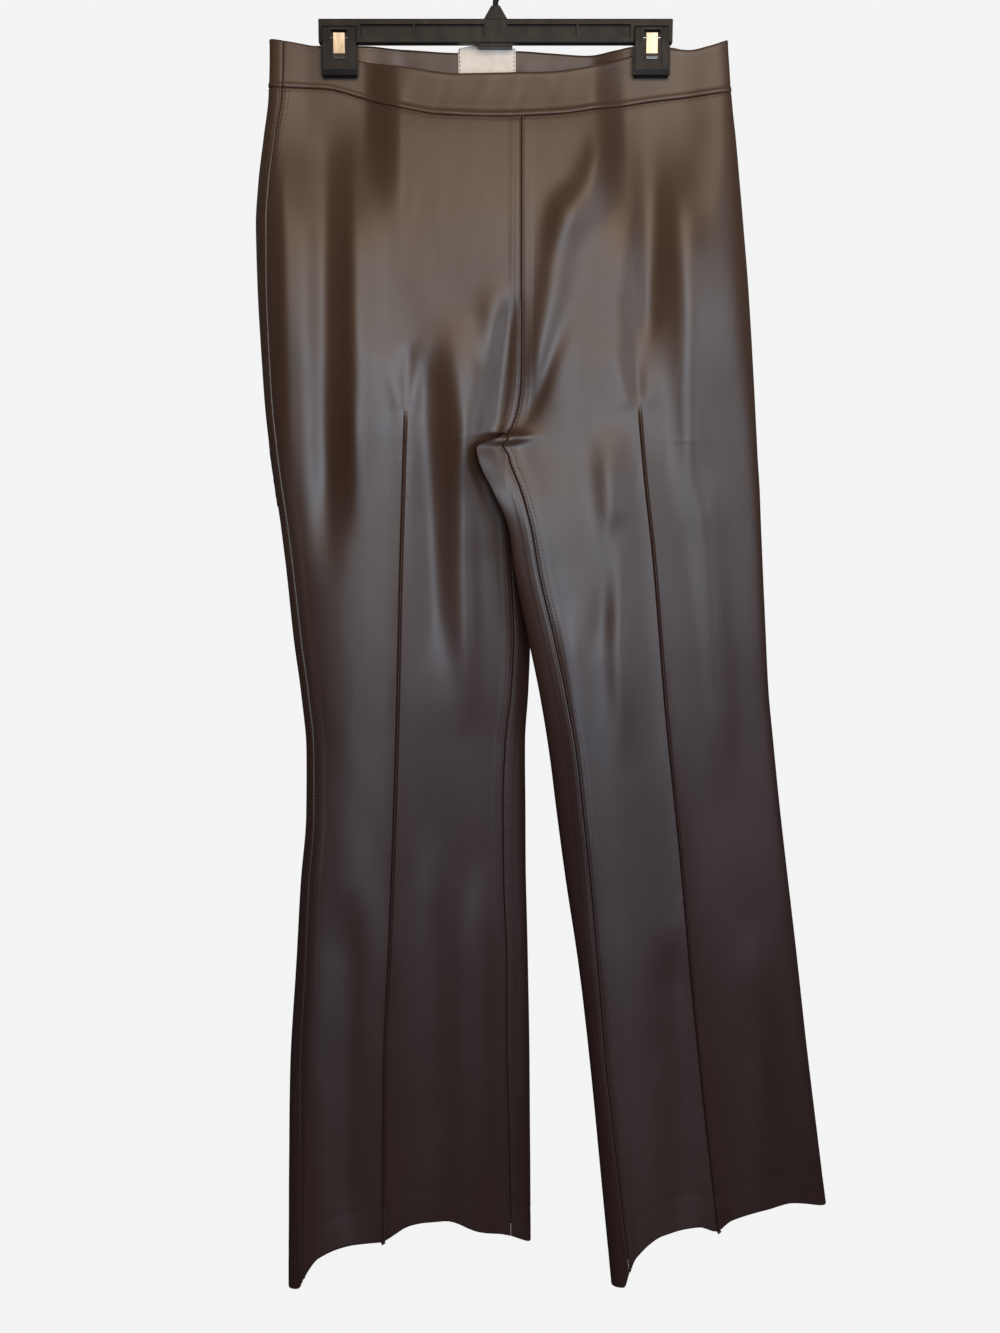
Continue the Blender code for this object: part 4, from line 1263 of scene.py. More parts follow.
@dataclass(frozen=True)
class WovenLabel:
    """A bare off-white satin label, woven across, a little soiled in patches."""

    name: str = "woven_label"
    colour: Colour = (0.93, 0.86, 0.77, 1.0)
    aged: Colour = (0.80, 0.70, 0.59, 1.0)
    weave_scale: float = 700.0
    weave_height: float = 0.2 * MM
    stain_scale: float = 90.0

    def look(self, nodes: Nodes) -> Values:
        """Builds the nodes of the finish.

        Args:
            nodes: a helper on the material's tree.

        Returns:
            What each input of the shader takes.
        """
        place = nodes.place("UV")
        threads = {"Vector": place, "Scale": self.weave_scale, "Distortion": 0.6}
        weave = nodes.add("ShaderNodeTexWave", threads, wave_type="BANDS", bands_direction="Y").outputs["Fac"]
        patches = {"Vector": place, "Scale": self.stain_scale, "Detail": 5.0}
        noise = nodes.add("ShaderNodeTexNoise", patches).outputs["Fac"]
        return {
            "Base Color": nodes.mixed(nodes.spread(noise, (0.45, 0.8)), self.colour, self.aged),
            "Roughness": 0.55,
            "Normal": nodes.bump(weave, 0.35, self.weave_height),
        }


@dataclass(frozen=True)
class BlackPlastic:
    """Black moulded plastic with a faint skin texture and dulled, scuffed patches."""

    name: str = "black_plastic"
    colour: Colour = (0.006, 0.0055, 0.005, 1.0)
    scuffed: Colour = (0.014, 0.013, 0.012, 1.0)
    scuff_scale: float = 55.0
    gloss: tuple[float, float] = (0.34, 0.5)
    gloss_scale: float = 80.0
    skin_height: float = 0.2 * MM

    def look(self, nodes: Nodes) -> Values:
        """Builds the nodes of the finish.

        Args:
            nodes: a helper on the material's tree.

        Returns:
            What each input of the shader takes.
        """
        place = nodes.place("Object")
        clouds = nodes.clouds(place, self.scuff_scale, 0.0, 1.0)
        return {
            "Base Color": nodes.mixed(clouds, self.colour, self.scuffed),
            "Roughness": nodes.clouds(place, self.gloss_scale, *self.gloss),
            "Normal": nodes.bump(nodes.pebbles(place, 1500.0, 4000.0), 0.06, self.skin_height),
            "Specular IOR Level": 0.22,
        }


@dataclass(frozen=True)
class SpringSteel:
    """Bright spring steel, with fine lines drawn along it and a slight tarnish."""

    name: str = "spring_steel"
    bright: Colour = (0.42, 0.40, 0.36, 1.0)
    tarnished: Colour = (0.22, 0.20, 0.17, 1.0)
    tarnish_scale: float = 140.0
    line_scale: float = 2500.0
    line_height: float = 0.2 * MM
    gloss: tuple[float, float] = (0.16, 0.36)

    def look(self, nodes: Nodes) -> Values:
        """Builds the nodes of the finish.

        Args:
            nodes: a helper on the material's tree.

        Returns:
            What each input of the shader takes.
        """
        place = nodes.place("Object")
        drawn = nodes.add("ShaderNodeMapping", {"Vector": place, "Scale": (1.0, 1.0, 0.06)}).outputs["Vector"]
        lines = nodes.add("ShaderNodeTexNoise", {"Vector": drawn, "Scale": self.line_scale}).outputs["Fac"]
        clouds = nodes.clouds(place, self.tarnish_scale, 0.0, 1.0)
        return {
            "Base Color": nodes.mixed(clouds, self.bright, self.tarnished),
            "Metallic": 1.0,
            "Roughness": nodes.spread(lines, (0.0, 1.0), self.gloss),
            "Normal": nodes.bump(lines, 0.08, self.line_height),
        }


@dataclass
class Wardrobe:
    """Every material of the model, built once."""

    leather: bpy.types.Material
    backing: bpy.types.Material
    thread: bpy.types.Material
    label: bpy.types.Material
    plastic: bpy.types.Material
    steel: bpy.types.Material

    @classmethod
    def filled(cls) -> "Wardrobe":
        """Builds all the materials.

        Returns:
            The wardrobe.
        """
        cloths = (FauxLeather(), ClothBacking(), SewingThread(), WovenLabel())
        finishes = cloths + (BlackPlastic(), SpringSteel())
        return cls(*(finished(finish.name, finish.look) for finish in finishes))


# ---------------------------------------------------------------------------------------------------
# Stitching
# ---------------------------------------------------------------------------------------------------


@dataclass(frozen=True)
class StitchRun:
    """Rows of stitches that Geometry Nodes lay along lines on the cloth."""

    pitch: float = 3.4 * MM
    length: float = 2.5 * MM
    radius: float = 0.33 * MM
    shortest: float = 0.9
    longest: float = 1.06
    flatness: float = 0.8
    seed: int = 7

    def tree(self, thread: bpy.types.Material) -> bpy.types.NodeTree:
        """Builds the tree that turns the lines to stitches.

        Args:
            thread: the thread's material.

        Returns:
            A tree with the inputs Pitch, Length, Radius and Seed.
        """
        tree = bpy.data.node_groups.new("stitch_run", "GeometryNodeTree")
        face = tree.interface
        face.new_socket("Geometry", in_out="INPUT", socket_type="NodeSocketGeometry")
        for label, value in (("Pitch", self.pitch), ("Length", self.length), ("Radius", self.radius)):
            face.new_socket(label, in_out="INPUT", socket_type="NodeSocketFloat").default_value = value
        face.new_socket("Seed", in_out="INPUT", socket_type="NodeSocketInt").default_value = self.seed
        face.new_socket("Geometry", in_out="OUTPUT", socket_type="NodeSocketGeometry")
        nodes = Nodes(tree)
        start, end = nodes.add("NodeGroupInput").outputs, nodes.add("NodeGroupOutput").inputs
        curve = nodes.add("GeometryNodeMeshToCurve", {"Mesh": start["Geometry"]}).outputs["Curve"]
        lengths = {"Curve": curve, "Length": start["Pitch"]}
        even = nodes.add("GeometryNodeResampleCurve", lengths, mode="LENGTH").outputs["Curve"]
        round_bead = {"Segments": 6, "Rings": 4, "Radius": 1.0}
        bead = nodes.add("GeometryNodeMeshUVSphere", round_bead).outputs["Mesh"]
        tangent = nodes.add("GeometryNodeInputTangent").outputs["Tangent"]
        along = nodes.add("FunctionNodeAlignRotationToVector", {"Vector": tangent}, axis="X")
        named = nodes.add("GeometryNodeInputNamedAttribute", {"Name": "outward"}, data_type="FLOAT_VECTOR")
        turned = {"Rotation": along.outputs["Rotation"], "Vector": named.outputs["Attribute"]}
        upright = nodes.add("FunctionNodeAlignRotationToVector", turned, axis="Z", pivot_axis="X")
        uneven = {"Min": self.shortest, "Max": self.longest, "Seed": start["Seed"]}
        vary = nodes.add("FunctionNodeRandomValue", uneven, data_type="FLOAT").outputs["Value"]
        half = nodes.math("MULTIPLY", nodes.math("MULTIPLY", start["Length"], 0.5), vary)
        flat = nodes.math("MULTIPLY", start["Radius"], self.flatness)
        size = nodes.add("ShaderNodeCombineXYZ", {"X": half, "Y": start["Radius"], "Z": flat})
        laid = {"Points": even, "Instance": bead, "Rotation": upright.outputs["Rotation"]}
        laid["Scale"] = size.outputs["Vector"]
        stitches = nodes.add("GeometryNodeInstanceOnPoints", laid).outputs["Instances"]
        real = nodes.add("GeometryNodeRealizeInstances", {"Geometry": stitches}).outputs["Geometry"]
        dressed = nodes.add("GeometryNodeSetMaterial", {"Geometry": real, "Material": thread})
        nodes.feed(end["Geometry"], dressed.outputs["Geometry"])
        return tree

    def sewn(self, name: str, lines: Sequence[ThreadLine], tree: bpy.types.NodeTree) -> bpy.types.Object:
        """Sews lines of stitches and gives them back as one plain mesh.

        Args:
            name: the piece's name.
            lines: the lines, on the cloth's surface.
            tree: the tree of tree().

        Returns:
            The piece, with its place in its mesh.
        """
        points = np.concatenate([line.points + line.outward * self.radius * 0.25 for line in lines])
        outward = np.concatenate([line.outward for line in lines])
        edges: list[tuple[int, int]] = []
        first = 0
        for line in lines:
            edges += [(first + i, first + i + 1) for i in range(len(line.points) - 1)]
            first += len(line.points)
        guide = bpy.data.meshes.new(name + "_lines")
        guide.from_pydata(points.tolist(), edges, [])
        attribute = guide.attributes.new("outward", "FLOAT_VECTOR", "POINT")
        attribute.data.foreach_set("vector", outward.reshape(-1).astype(np.float32))
        holder = in_scene(name + "_holder", guide)
        modifier = holder.modifiers.new("stitches", "NODES")
        modifier.node_group = tree
        values = {"Pitch": self.pitch, "Length": self.length, "Radius": self.radius, "Seed": self.seed}
        for item in tree.interface.items_tree:
            if item.in_out == "INPUT" and item.name in values:
                modifier[item.identifier] = values[item.name]
        bpy.context.view_layer.update()
        graph = bpy.context.evaluated_depsgraph_get()
        mesh = bpy.data.meshes.new_from_object(holder.evaluated_get(graph))
        mesh.name = name
        bpy.data.objects.remove(holder)
        mesh.polygons.foreach_set("use_smooth", np.ones(len(mesh.polygons), bool))
        return in_scene(name, mesh)


# ---------------------------------------------------------------------------------------------------
# The trousers
# ---------------------------------------------------------------------------------------------------


def spaced(start: float, end: float, near: Sequence[float], step: float) -> Array:
    """Distances from one edge to another, close together near both edges.

    Args:
        start: the first distance.
        end: the last distance.
        near: the close distances, counted from each edge.
        step: the step between.

    Returns:
        The rising distances.
    """
    inner_start, inner_end = start + near[-1], end - near[-1]
    count = max(2, round((inner_end - inner_start) / step) + 1)
    middle = np.linspace(inner_start, inner_end, count)
    return np.concatenate([start + np.array(near[:-1]), middle, end - np.array(near[-2::-1])])


@dataclass
class TrouserPanel:
    """A front or back panel from waist seam to hem, with its seams rolled in and its hem turned up."""

    name: str
    leg: LegForm
    side: Side
    wall: float = 1.1 * MM
    hem_depth: float = 32 * MM
    row_step: float = 4.0 * MM
    fork_step: float = 2.0 * MM
    seam_rows: tuple[float, ...] = (2.0 * MM, 6.6 * MM)
    seam_valley: Groove = Groove(0.0, 0.5 * MM, 0.5 * MM)
    seam_rise: float = 0.34 * MM
    seam_pucker: Ripple = Ripple(0.0, 11 * MM, 0.14 * MM)
    stitch_depth: float = 0.2 * MM
    stitch_spread: float = 0.6 * MM
    waist_grooves: tuple[Groove, ...] = (
        Groove(0.0, 0.5 * MM, 0.8 * MM),
        Groove(2.2 * MM, 0.18 * MM, 0.7 * MM),
    )
    waist_ripple: Ripple = Ripple(0.0, 14 * MM, 0.12 * MM)
    hem_edge: Groove = Groove(0.0, 0.9 * MM, 0.7 * MM)
    hem_ripple: Ripple = Ripple(4.0, 33 * MM, 0.3 * MM)
    tuck_pucker: Ripple = Ripple(6.0, 10 * MM, 0.16 * MM)
    slow_rise: float = 0.24 * MM
    fine_rise: float = 0.07 * MM
    phase: float = 0.0
    phase_across: float = 2.6
    grid: Optional[ClothGrid] = None
    near: tuple[float, ...] = (0, 0.35, 0.7, 1.1, 1.6, 2.1, 2.7, 3.4, 4.3, 5.4, 6.6, 7.8, 9.2, 11.5, 15.0)

    def levels(self) -> Array:
        """The levels of the rows, closest together at the fork, the waist and the hem.

        Returns:
            The levels, from the waist down.
        """
        form = self.leg.form
        near = [distance * MM for distance in (0, 0.5, 1.0, 1.6, 2.4, 3.4, 5.0, 7.5)]
        upper = spaced(-form.waist_z, 340 * MM, near, self.row_step)
        fork = np.arange(340 * MM, 470 * MM, self.fork_step)[1:]
        lower = spaced(470 * MM, -form.hem_z, near, self.row_step)
        return -np.concatenate([upper, fork, lower])

    def places(self) -> Array:
        """The places of the columns, closest together at the seams and over the tuck.

        Returns:
            The places, from the inner edge to the side.
        """
        near = [distance * MM for distance in self.near]
        if self.side is Side.BACK:
            return np.clip(spaced(0, BACK_SPAN, near, 3.6 * MM) / BACK_SPAN, 0, 1)
        inner = spaced(0, INNER_SPAN, near, 3.4 * MM) / INNER_SPAN
        outer = spaced(0, OUTER_SPAN, near, 3.4 * MM) / OUTER_SPAN
        crest = np.array([1.2, 1.4, 1.6, 1.8, 2.0, 2.2, 2.4, 2.6, 2.8])
        return np.concatenate([inner, crest, 3 + outer])

    def relief(self, grid: ClothGrid) -> Array:
        """The small relief of the cloth: rolled seams, topstitching, puckers and slow waves.

        Args:
            grid: the panel's outer surface.

        Returns:
            How far each point moves outwards.
        """
        first, last = grid.across()
        top, bottom = grid.down()
        x, z = grid.points[..., 0], grid.points[..., 2]
        heights = self.waist_ripple.height(first, self.phase) * np.exp(-top / (7 * MM))
        for groove in self.waist_grooves:
            heights += groove.height(top)
        for edge, shift in ((first, 0.0), (last, self.phase_across)):
            raised = ease(edge / (1.4 * MM)) * (1 - ease((edge - 7.4 * MM) / (2.4 * MM)))
            drawn = ease(edge / (1.5 * MM)) * np.exp(-edge / (6.5 * MM))
            heights += self.seam_valley.height(edge) + self.seam_rise * raised
            heights += self.seam_pucker.height(-z, self.phase + shift) * drawn
            for row in self.seam_rows:
                heights += Groove(row, self.stitch_depth, self.stitch_spread).height(edge)
        heights += self.hem_edge.height(bottom)
        heights += Groove(self.hem_depth, 0.25 * MM, 2.2 * MM).height(bottom)
        inland = ease(first / (20 * MM)) * ease(last / (20 * MM))
        heights += self.hem_ripple.height(first, self.phase) * (1 - ease(bottom / (60 * MM))) * inland
        slow = wander(x + 0.22 * z, self.phase + 1, 62 * MM) * wander(z - 0.3 * x, self.phase + 3, 240 * MM)
        fine = wander(x * 1.3 - 0.15 * z, self.phase + 2, 27 * MM) * wander(z, self.phase + 5, 130 * MM)
        free = 1 - self.leg.form.pinch(x, z)
        away = ease(first / (24 * MM)) * ease(last / (24 * MM))
        heights += (self.slow_rise * slow + self.fine_rise * fine) * free * away
        if self.side is Side.FRONT:
            off = np.abs(x - self.leg.tuck_x(-z))
            run = ease((self.leg.tuck_top - z) / self.leg.form.tuck_run_in)
            heights += self.tuck_pucker.height(-z, self.phase) * run * np.exp(-off / (4 * MM))
        return heights

    def walls(self, grid: ClothGrid) -> Array:
        """The thickness of the cloth, doubled where the hem is turned up inside.

        Args:
            grid: the panel's outer surface.

        Returns:
            The thickness at each point.
        """
        _, bottom = grid.down()
        turned = 1 - ease((bottom - self.hem_depth) / (2.5 * MM))
        return self.wall * (1 + 0.9 * turned)

    def built(self, wardrobe: Wardrobe) -> bpy.types.Object:
        """Builds the panel, with the faux leather outside and the backing inside.

        Args:
            wardrobe: the materials.

        Returns:
            The panel.
        """
        form = self.leg.form
        places = self.places()
        places[0] += form.gap / 2 / (90 * MM)
        places[-1] -= form.gap / 2 / (110 * MM)
        surface = functools.partial(self.leg.panel_point, self.side)
        grid = ClothGrid.sampled(surface, self.levels(), places, self.side)
        grid.push(self.relief(grid))
        grid.set_normals(self.side)
        self.grid = grid
        inner = grid.points - grid.normals * self.walls(grid)[..., None]
        obj = wall_mesh(self.name, grid.points, inner)
        dress_wall(obj, wardrobe.leather, wardrobe.backing, grid.points.shape[:2])
        return obj

    def thread_lines(self) -> list[ThreadLine]:
        """The topstitching of the panel: along its seams, and beside its tuck.

        Returns:
            The lines of stitches.
        """
        lines = []
        for distance in self.seam_rows:
            lines.append(self.grid.line_across(distance, False))
        z = self.grid.points[:, 0, 2]
        below = z < self.leg.form.fork_z - 6 * MM
        if self.side is Side.FRONT:
            for distance in self.seam_rows:
                lines.append(self.grid.line_across(distance, True).part(below))
            column = int(np.argmin(np.abs(self.grid.column_places - 3.0)))
            tuck = ThreadLine(self.grid.points[:, column], self.grid.normals[:, column])
            lines.append(tuck.part(tuck.points[:, 2] < self.leg.tuck_top - 2 * MM))
        lines.append(self.grid.line_across(2.0 * MM, True).part(~below & (z > self.leg.form.fork_z + 8 * MM)))
        lines.append(self.grid.line_down(2.2 * MM, True))
        return lines


def dress_wall(
    obj: bpy.types.Object, outside: bpy.types.Material, inside: bpy.types.Material, size: tuple[int, int]
) -> None:
    """Puts one material on the outer face and rim of a wall and another on its inner face.

    Args:
        obj: the wall.
        outside: the material outside.
        inside: the material inside.
        size: how many rows and columns of points the wall has.
    """
    obj.data.materials.append(outside)
    obj.data.materials.append(inside)
    rows, columns = size
    faces = (rows - 1) * (columns - 1)
    slots = np.zeros(len(obj.data.polygons), np.int32)
    slots[faces : 2 * faces] = 1
    obj.data.polygons.foreach_set("material_index", slots)


@dataclass
class Waistband:
    """The front or back half of the wide waistband, doubled over a stiff facing."""

    name: str
    legs: tuple[LegForm, LegForm]
    side: Side
    wall: float = 2.0 * MM
    foot_grooves: tuple[Groove, ...] = (
        Groove(0.0, 0.8 * MM, 0.6 * MM),
        Groove(5.6 * MM, 0.16 * MM, 0.9 * MM),
    )
    top_bead: Groove = Groove(2.6 * MM, -0.2 * MM, 1.4 * MM)
    end_valley: Groove = Groove(0.0, 0.5 * MM, 0.6 * MM)
    slow_ripple: Ripple = Ripple(0.0, 74 * MM, 0.55 * MM)
    fine_ripple: Ripple = Ripple(2.0, 23 * MM, 0.12 * MM)
    roll_depth: float = 0.95 * MM
    roll_reach: float = 1.6 * MM
    column_step: float = 2.5 * MM
    phase: float = 0.0

    def point(self, rise: Array, across: Array) -> Array:
        """A point of the band's outer face.

        Args:
            rise: 0 at the waist seam and 1 at the top edge.
            across: the place of the panel below, under zero on the right half.

        Returns:
            The points.
        """
        rise, across = np.broadcast_arrays(np.asarray(rise, float), np.asarray(across, float))
        top_curves = {side: edge_curve(rows) for side, rows in BAND_TOP_ROWS.items()}
        points = np.zeros(across.shape + (3,))
        for leg, here in ((self.legs[0], across < 0), (self.legs[1], across >= 0)):
            place = np.abs(across[here])
            z = np.full(place.shape, leg.form.waist_z)
            angle_of = leg.front_angle if self.side is Side.FRONT else leg.back_angle
            for _ in range(4):
                angle = angle_of(z, place, True)
                x, y = leg.hip_point(z, angle)
                front = np.sin(angle) >= 0
                foot = np.where(front, leg.waist_seam[Side.FRONT](x), leg.waist_seam[Side.BACK](x))
                top = np.where(front, top_curves[Side.FRONT](x), top_curves[Side.BACK](x))
                z = foot + (top - foot) * rise[here]
            points[here] = np.stack([x, y, z], axis=-1)
        return points

    def relief(self, grid: ClothGrid) -> Array:
        """The rolled top edge, the raised edge over the waist seam, and a slow unevenness.

        Args:
            grid: the band's outer surface.

        Returns:
            How far each point moves outwards.
        """
        foot, top = grid.down()
        first, last = grid.across()
        heights = 0.55 * MM * (1 - ease((foot - 2.4 * MM) / (2.6 * MM)))
        for groove in self.foot_grooves:
            heights += groove.height(foot)
        heights += self.top_bead.height(top) - self.turned(top)
        heights += self.end_valley.height(first) + self.end_valley.height(last)
        x, z = grid.points[..., 0], grid.points[..., 2]
        free = 1 - self.legs[0].form.pinch(x, z)
        heights += self.slow_ripple.height(x + 0.7 * z, self.phase) * free
        return heights + self.fine_ripple.height(x - 0.4 * z, self.phase) * free

    def turned(self, top: Array) -> Array:
        """How far each face gives way at the rolled top edge."""
        return self.roll_depth * (1 - edge_round(top, self.roll_reach))

    def built(self, wardrobe: Wardrobe) -> bpy.types.Object:
        """Builds the band as a wall that closes over its top edge.

        Args:
            wardrobe: the materials.

        Returns:
            The band.
        """
        near = [distance * MM for distance in (0, 0.4, 0.8, 1.3, 1.9, 2.6, 3.5, 4.8, 6.5)]
        ends = [distance * MM for distance in (0, 0.5, 1.2, 2.2)]
        rises = spaced(0, BAND_HEIGHT, near, 2.2 * MM) / BAND_HEIGHT
        if self.side is Side.FRONT:
            inner = spaced(0, INNER_SPAN, [0, self.column_step], self.column_step) / INNER_SPAN
            outer = 3 + spaced(0, OUTER_SPAN, ends, self.column_step) / OUTER_SPAN
            half = np.concatenate([inner, [1.5, 2.0, 2.5], outer])
        else:
            half = spaced(0, BAND_BACK_SPAN, ends, self.column_step) / BAND_BACK_SPAN
        half[-1] -= 0.0006
        columns = np.concatenate([-half[:0:-1], half])
        grid = ClothGrid.sampled(self.point, rises, columns, self.side)
        grid.push(self.relief(grid))
        grid.set_normals(self.side)
        wall = self.wall - self.turned(grid.down()[1])
        obj = wall_mesh(self.name, grid.points, grid.points - grid.normals * wall[..., None])
        dress_wall(obj, wardrobe.leather, wardrobe.leather, grid.points.shape[:2])
        return obj


@dataclass
class BareLabel:
    """The blank woven label inside the back waistband, with an arched top."""

    name: str
    legs: tuple[LegForm, LegForm]
    centre_x: float = -7.5 * MM
    half_width: float = 24.9 * MM
    low: float = -120.6 * MM
    shoulder: float = -91 * MM
    arch: float = 4.4 * MM
    arch_power: float = 0.6
    curl: float = 0.35 * MM
    clear: float = 0.75 * MM
    wall: float = 0.55 * MM
    band_wall: float = 2.0 * MM
    stitches_in: float = 1.6 * MM
    grid: Optional[ClothGrid] = None

    def point(self, rise: Array, across: Array) -> Array:
        """A point of the label's face, just clear of the inside of the band.

        Args:
            rise: 0 at the low edge and 1 at the arched top.
            across: -1 to 1 from one short side to the other.

        Returns:
            The points.
        """
        x = self.centre_x + self.half_width * across
        top = self.shoulder + self.arch * np.cos(across * math.pi / 2 * 0.999) ** self.arch_power
        z = self.low + (top - self.low) * rise
        seats = []
        for leg in self.legs:
            centre = leg.form.centre_x
            inside = np.where(leg.toward_side * (x - centre) > 0, x, centre)
            seats.append(leg.hip_point(z, 2 * math.pi - leg.x_angle(z, inside, True))[1])
        seat = np.where(x < self.legs[0].form.centre_x, seats[0], seats[1])
        lift = self.curl * (1 + wander(x, 1.3, 31 * MM)) * rise
        y = seat - self.band_wall - self.clear - self.wall - lift
        return np.stack([x, y, z], axis=-1)

    def built(self, wardrobe: Wardrobe) -> bpy.types.Object:
        """Builds the label.

        Args:
            wardrobe: the materials.

        Returns:
            The label.
        """
        rows, columns = np.linspace(0, 1, 22), np.linspace(-1, 1, 32)
        grid = ClothGrid.sampled(self.point, rows, columns, Side.FRONT)
        self.grid = grid
        obj = wall_mesh(self.name, grid.points, grid.points - grid.normals * self.wall)
        obj.data.materials.append(wardrobe.label)
        return obj

    def thread_lines(self) -> list[ThreadLine]:
        """A row of stitches down each short side."""
        return [self.grid.line_across(self.stitches_in, end) for end in (True, False)]


@dataclass
class Trousers:
    """All the cloth: four panels, two halves of the waistband, the label and the stitching."""

    form: GarmentForm = field(default_factory=GarmentForm)
    stitches: StitchRun = field(default_factory=StitchRun)
    band_cut: tuple[float, float] = (0.41, 0.05)
    label_cut: tuple[float, float] = (0.05, 0.035)
    clips: tuple[str, ...] = (
        "clip_right_front_jaw",
        "clip_left_front_jaw",
        "clip_right_back_jaw",
        "clip_left_back_jaw",
    )

    def build(self, wardrobe: Wardrobe) -> None:
        """Builds each piece and hangs it.

        Args:
            wardrobe: the materials.
        """
        right = LegForm(self.form, RIGHT_LEG_ROWS, RIGHT_TUCK_ROWS, RIGHT_HEM_ROWS)
        left = LegForm(self.form, LEFT_LEG_ROWS, LEFT_TUCK_ROWS, LEFT_HEM_ROWS)
        legs = (right, left)
        lines: list[ThreadLine] = []
        cuts = {
            "front_right": (TrouserPanel("front_right_panel", right, Side.FRONT, phase=0.4), (0.275, 1.06)),
            "front_left": (TrouserPanel("front_left_panel", left, Side.FRONT, phase=1.9), (0.285, 1.06)),
            "back_right": (TrouserPanel("back_right_panel", right, Side.BACK, phase=3.1), (0.35, 1.09)),
            "back_left": (TrouserPanel("back_left_panel", left, Side.BACK, phase=4.7), (0.31, 1.09)),
        }
        for node, (panel, flat) in cuts.items():
            obj = panel.built(wardrobe)
            lines += panel.thread_lines()
            self.hang(obj, node)
        for node, side, phase in (("waistband_front", Side.FRONT, 0.9), ("waistband_back", Side.BACK, 2.2)):
            band = Waistband(node + "_cloth", legs, side, phase=phase)
            self.hang(band.built(wardrobe), node)
        label = BareLabel("bare_label", legs)
        obj = label.built(wardrobe)
        lines += label.thread_lines()
        self.hang(obj, "label")
        sewn = self.stitches.sewn("topstitching", lines, self.stitches.tree(wardrobe.thread))
        LOG.info("topstitching: %d faces in %d rows", len(sewn.data.polygons), len(lines))
        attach(sewn, "root")

    def hang(
        self,
        obj: bpy.types.Object,
        node: str,
    ) -> None:
        """Attaches a piece of cloth to the root body and hides the solid that it stands for.

        Args:
            obj: the piece.
            node: the solid that it stands for.
        """
        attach(obj, "root")
        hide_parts(node)


# ---------------------------------------------------------------------------------------------------
# The hanger
# ---------------------------------------------------------------------------------------------------


@dataclass
class Hanger:
    """The clip hanger: its solids dressed, a finer hook, and the steel pins of the clips."""

    rod: float = 2.4 * MM
    inside: float = 20 * MM
    tip_deg: float = 196.0
    start_deg: float = -58.0
    foot_z: float = -56.4 * MM
    pin_radius: float = 0.8 * MM
    pin_half: float = 7.2 * MM
    pin_z: float = -84.6 * MM
    plastic_nodes: tuple[str, ...] = (
        "hanger_bar",
        "clip_right_front_jaw",
        "clip_right_back_jaw",
        "clip_left_front_jaw",
        "clip_left_back_jaw",
    )
    steel_nodes: tuple[str, ...] = ("clip_right_spring", "clip_left_spring")

    def build(self, frame: dict, wardrobe: Wardrobe) -> None:
        """Dresses the solids and builds the added pieces.

        Args:
            wardrobe: the materials.
        """
        for names, material in ((self.plastic_nodes, wardrobe.plastic), (self.steel_nodes, wardrobe.steel)):
            for name in names:
                mesh = frame["nodes"][name].data
                mesh.materials.clear()
                mesh.materials.append(material)
        hook = self.hook(wardrobe)
        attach(hook, "root")
        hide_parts("hanger_hook")
        pins = self.pins(wardrobe)
        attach(pins, "root")
        LOG.info("hanger: hook %d faces, pins %d faces", len(hook.data.polygons), len(pins.data.polygons))

    def hook(self, wardrobe: Wardrobe) -> bpy.types.Object:
        """The hook as one smooth round rod from the gusset over the rail.

        Args:
            wardrobe: the materials.

        Returns:
            The hook.
        """
        radius = self.inside + self.rod
        centre_z = self.rod - radius
        start, tip = math.radians(self.start_deg), math.radians(self.tip_deg)
        arc = [start + (tip - start) * step / 22 for step in range(23)]
        path = [(radius * math.cos(angle), centre_z + radius * math.sin(angle)) for angle in arc]
        bend_z = path[0][1] - 6 * MM
        neck = [(0.0, self.foot_z), (0.0, self.foot_z + 4 * MM)]
        for step in range(1, 5):
            share = float(ease(np.array(step / 5)))
            neck.append((path[0][0] * share * 0.9, self.foot_z + 4 * MM + (bend_z - self.foot_z) * step / 5))
        curve = bpy.data.curves.new("hook_rod", "CURVE")
        curve.dimensions = "3D"
        curve.bevel_depth = self.rod
        curve.bevel_resolution = 5
        curve.use_fill_caps = True
        spline = curve.splines.new("NURBS")
        spline.order_u = 3
        spline.use_endpoint_u = True
        spline.resolution_u = 4
        points = neck + path
        spline.points.add(len(points) - 1)
        for target, (x, z) in zip(spline.points, points):
            target.co = (x, 0.0, z, 1.0)
        guide = in_scene("hook_rod", curve)
        bpy.context.view_layer.update()
        mesh = bpy.data.meshes.new_from_object(guide.evaluated_get(bpy.context.evaluated_depsgraph_get()))
        bpy.data.objects.remove(guide)
        cleaned(mesh)
        mesh.materials.clear()
        mesh.materials.append(wardrobe.plastic)
        return in_scene("hook", mesh)

    def pins(self, wardrobe: Wardrobe) -> bpy.types.Object:
        """The thin steel pin that crosses the slot of each jaw.

        Args:
            wardrobe: the materials.

        Returns:
            The pins, as one piece.
        """
        bm = bmesh.new()
        for word in ("right", "left"):
            for half in ("front", "back"):
                low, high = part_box(f"clip_{word}_{half}_jaw")
                y = low.y + 2.1 * MM if half == "front" else high.y - 2.1 * MM
                made = bmesh.ops.create_cone(
                    bm,
                    cap_ends=True,
                    segments=14,
                    radius1=self.pin_radius,
                    radius2=self.pin_radius,
                    depth=2 * self.pin_half,
                )
                for vertex in made["verts"]:
                    x, across, z = vertex.co
                    vertex.co = ((low.x + high.x) / 2 + z, y + across, self.pin_z + x)
        bmesh.ops.recalc_face_normals(bm, faces=bm.faces)
        mesh = bpy.data.meshes.new("clip_pins")
        bm.to_mesh(mesh)
        bm.free()
        mesh.materials.append(wardrobe.steel)
        return in_scene("clip_pins", mesh)


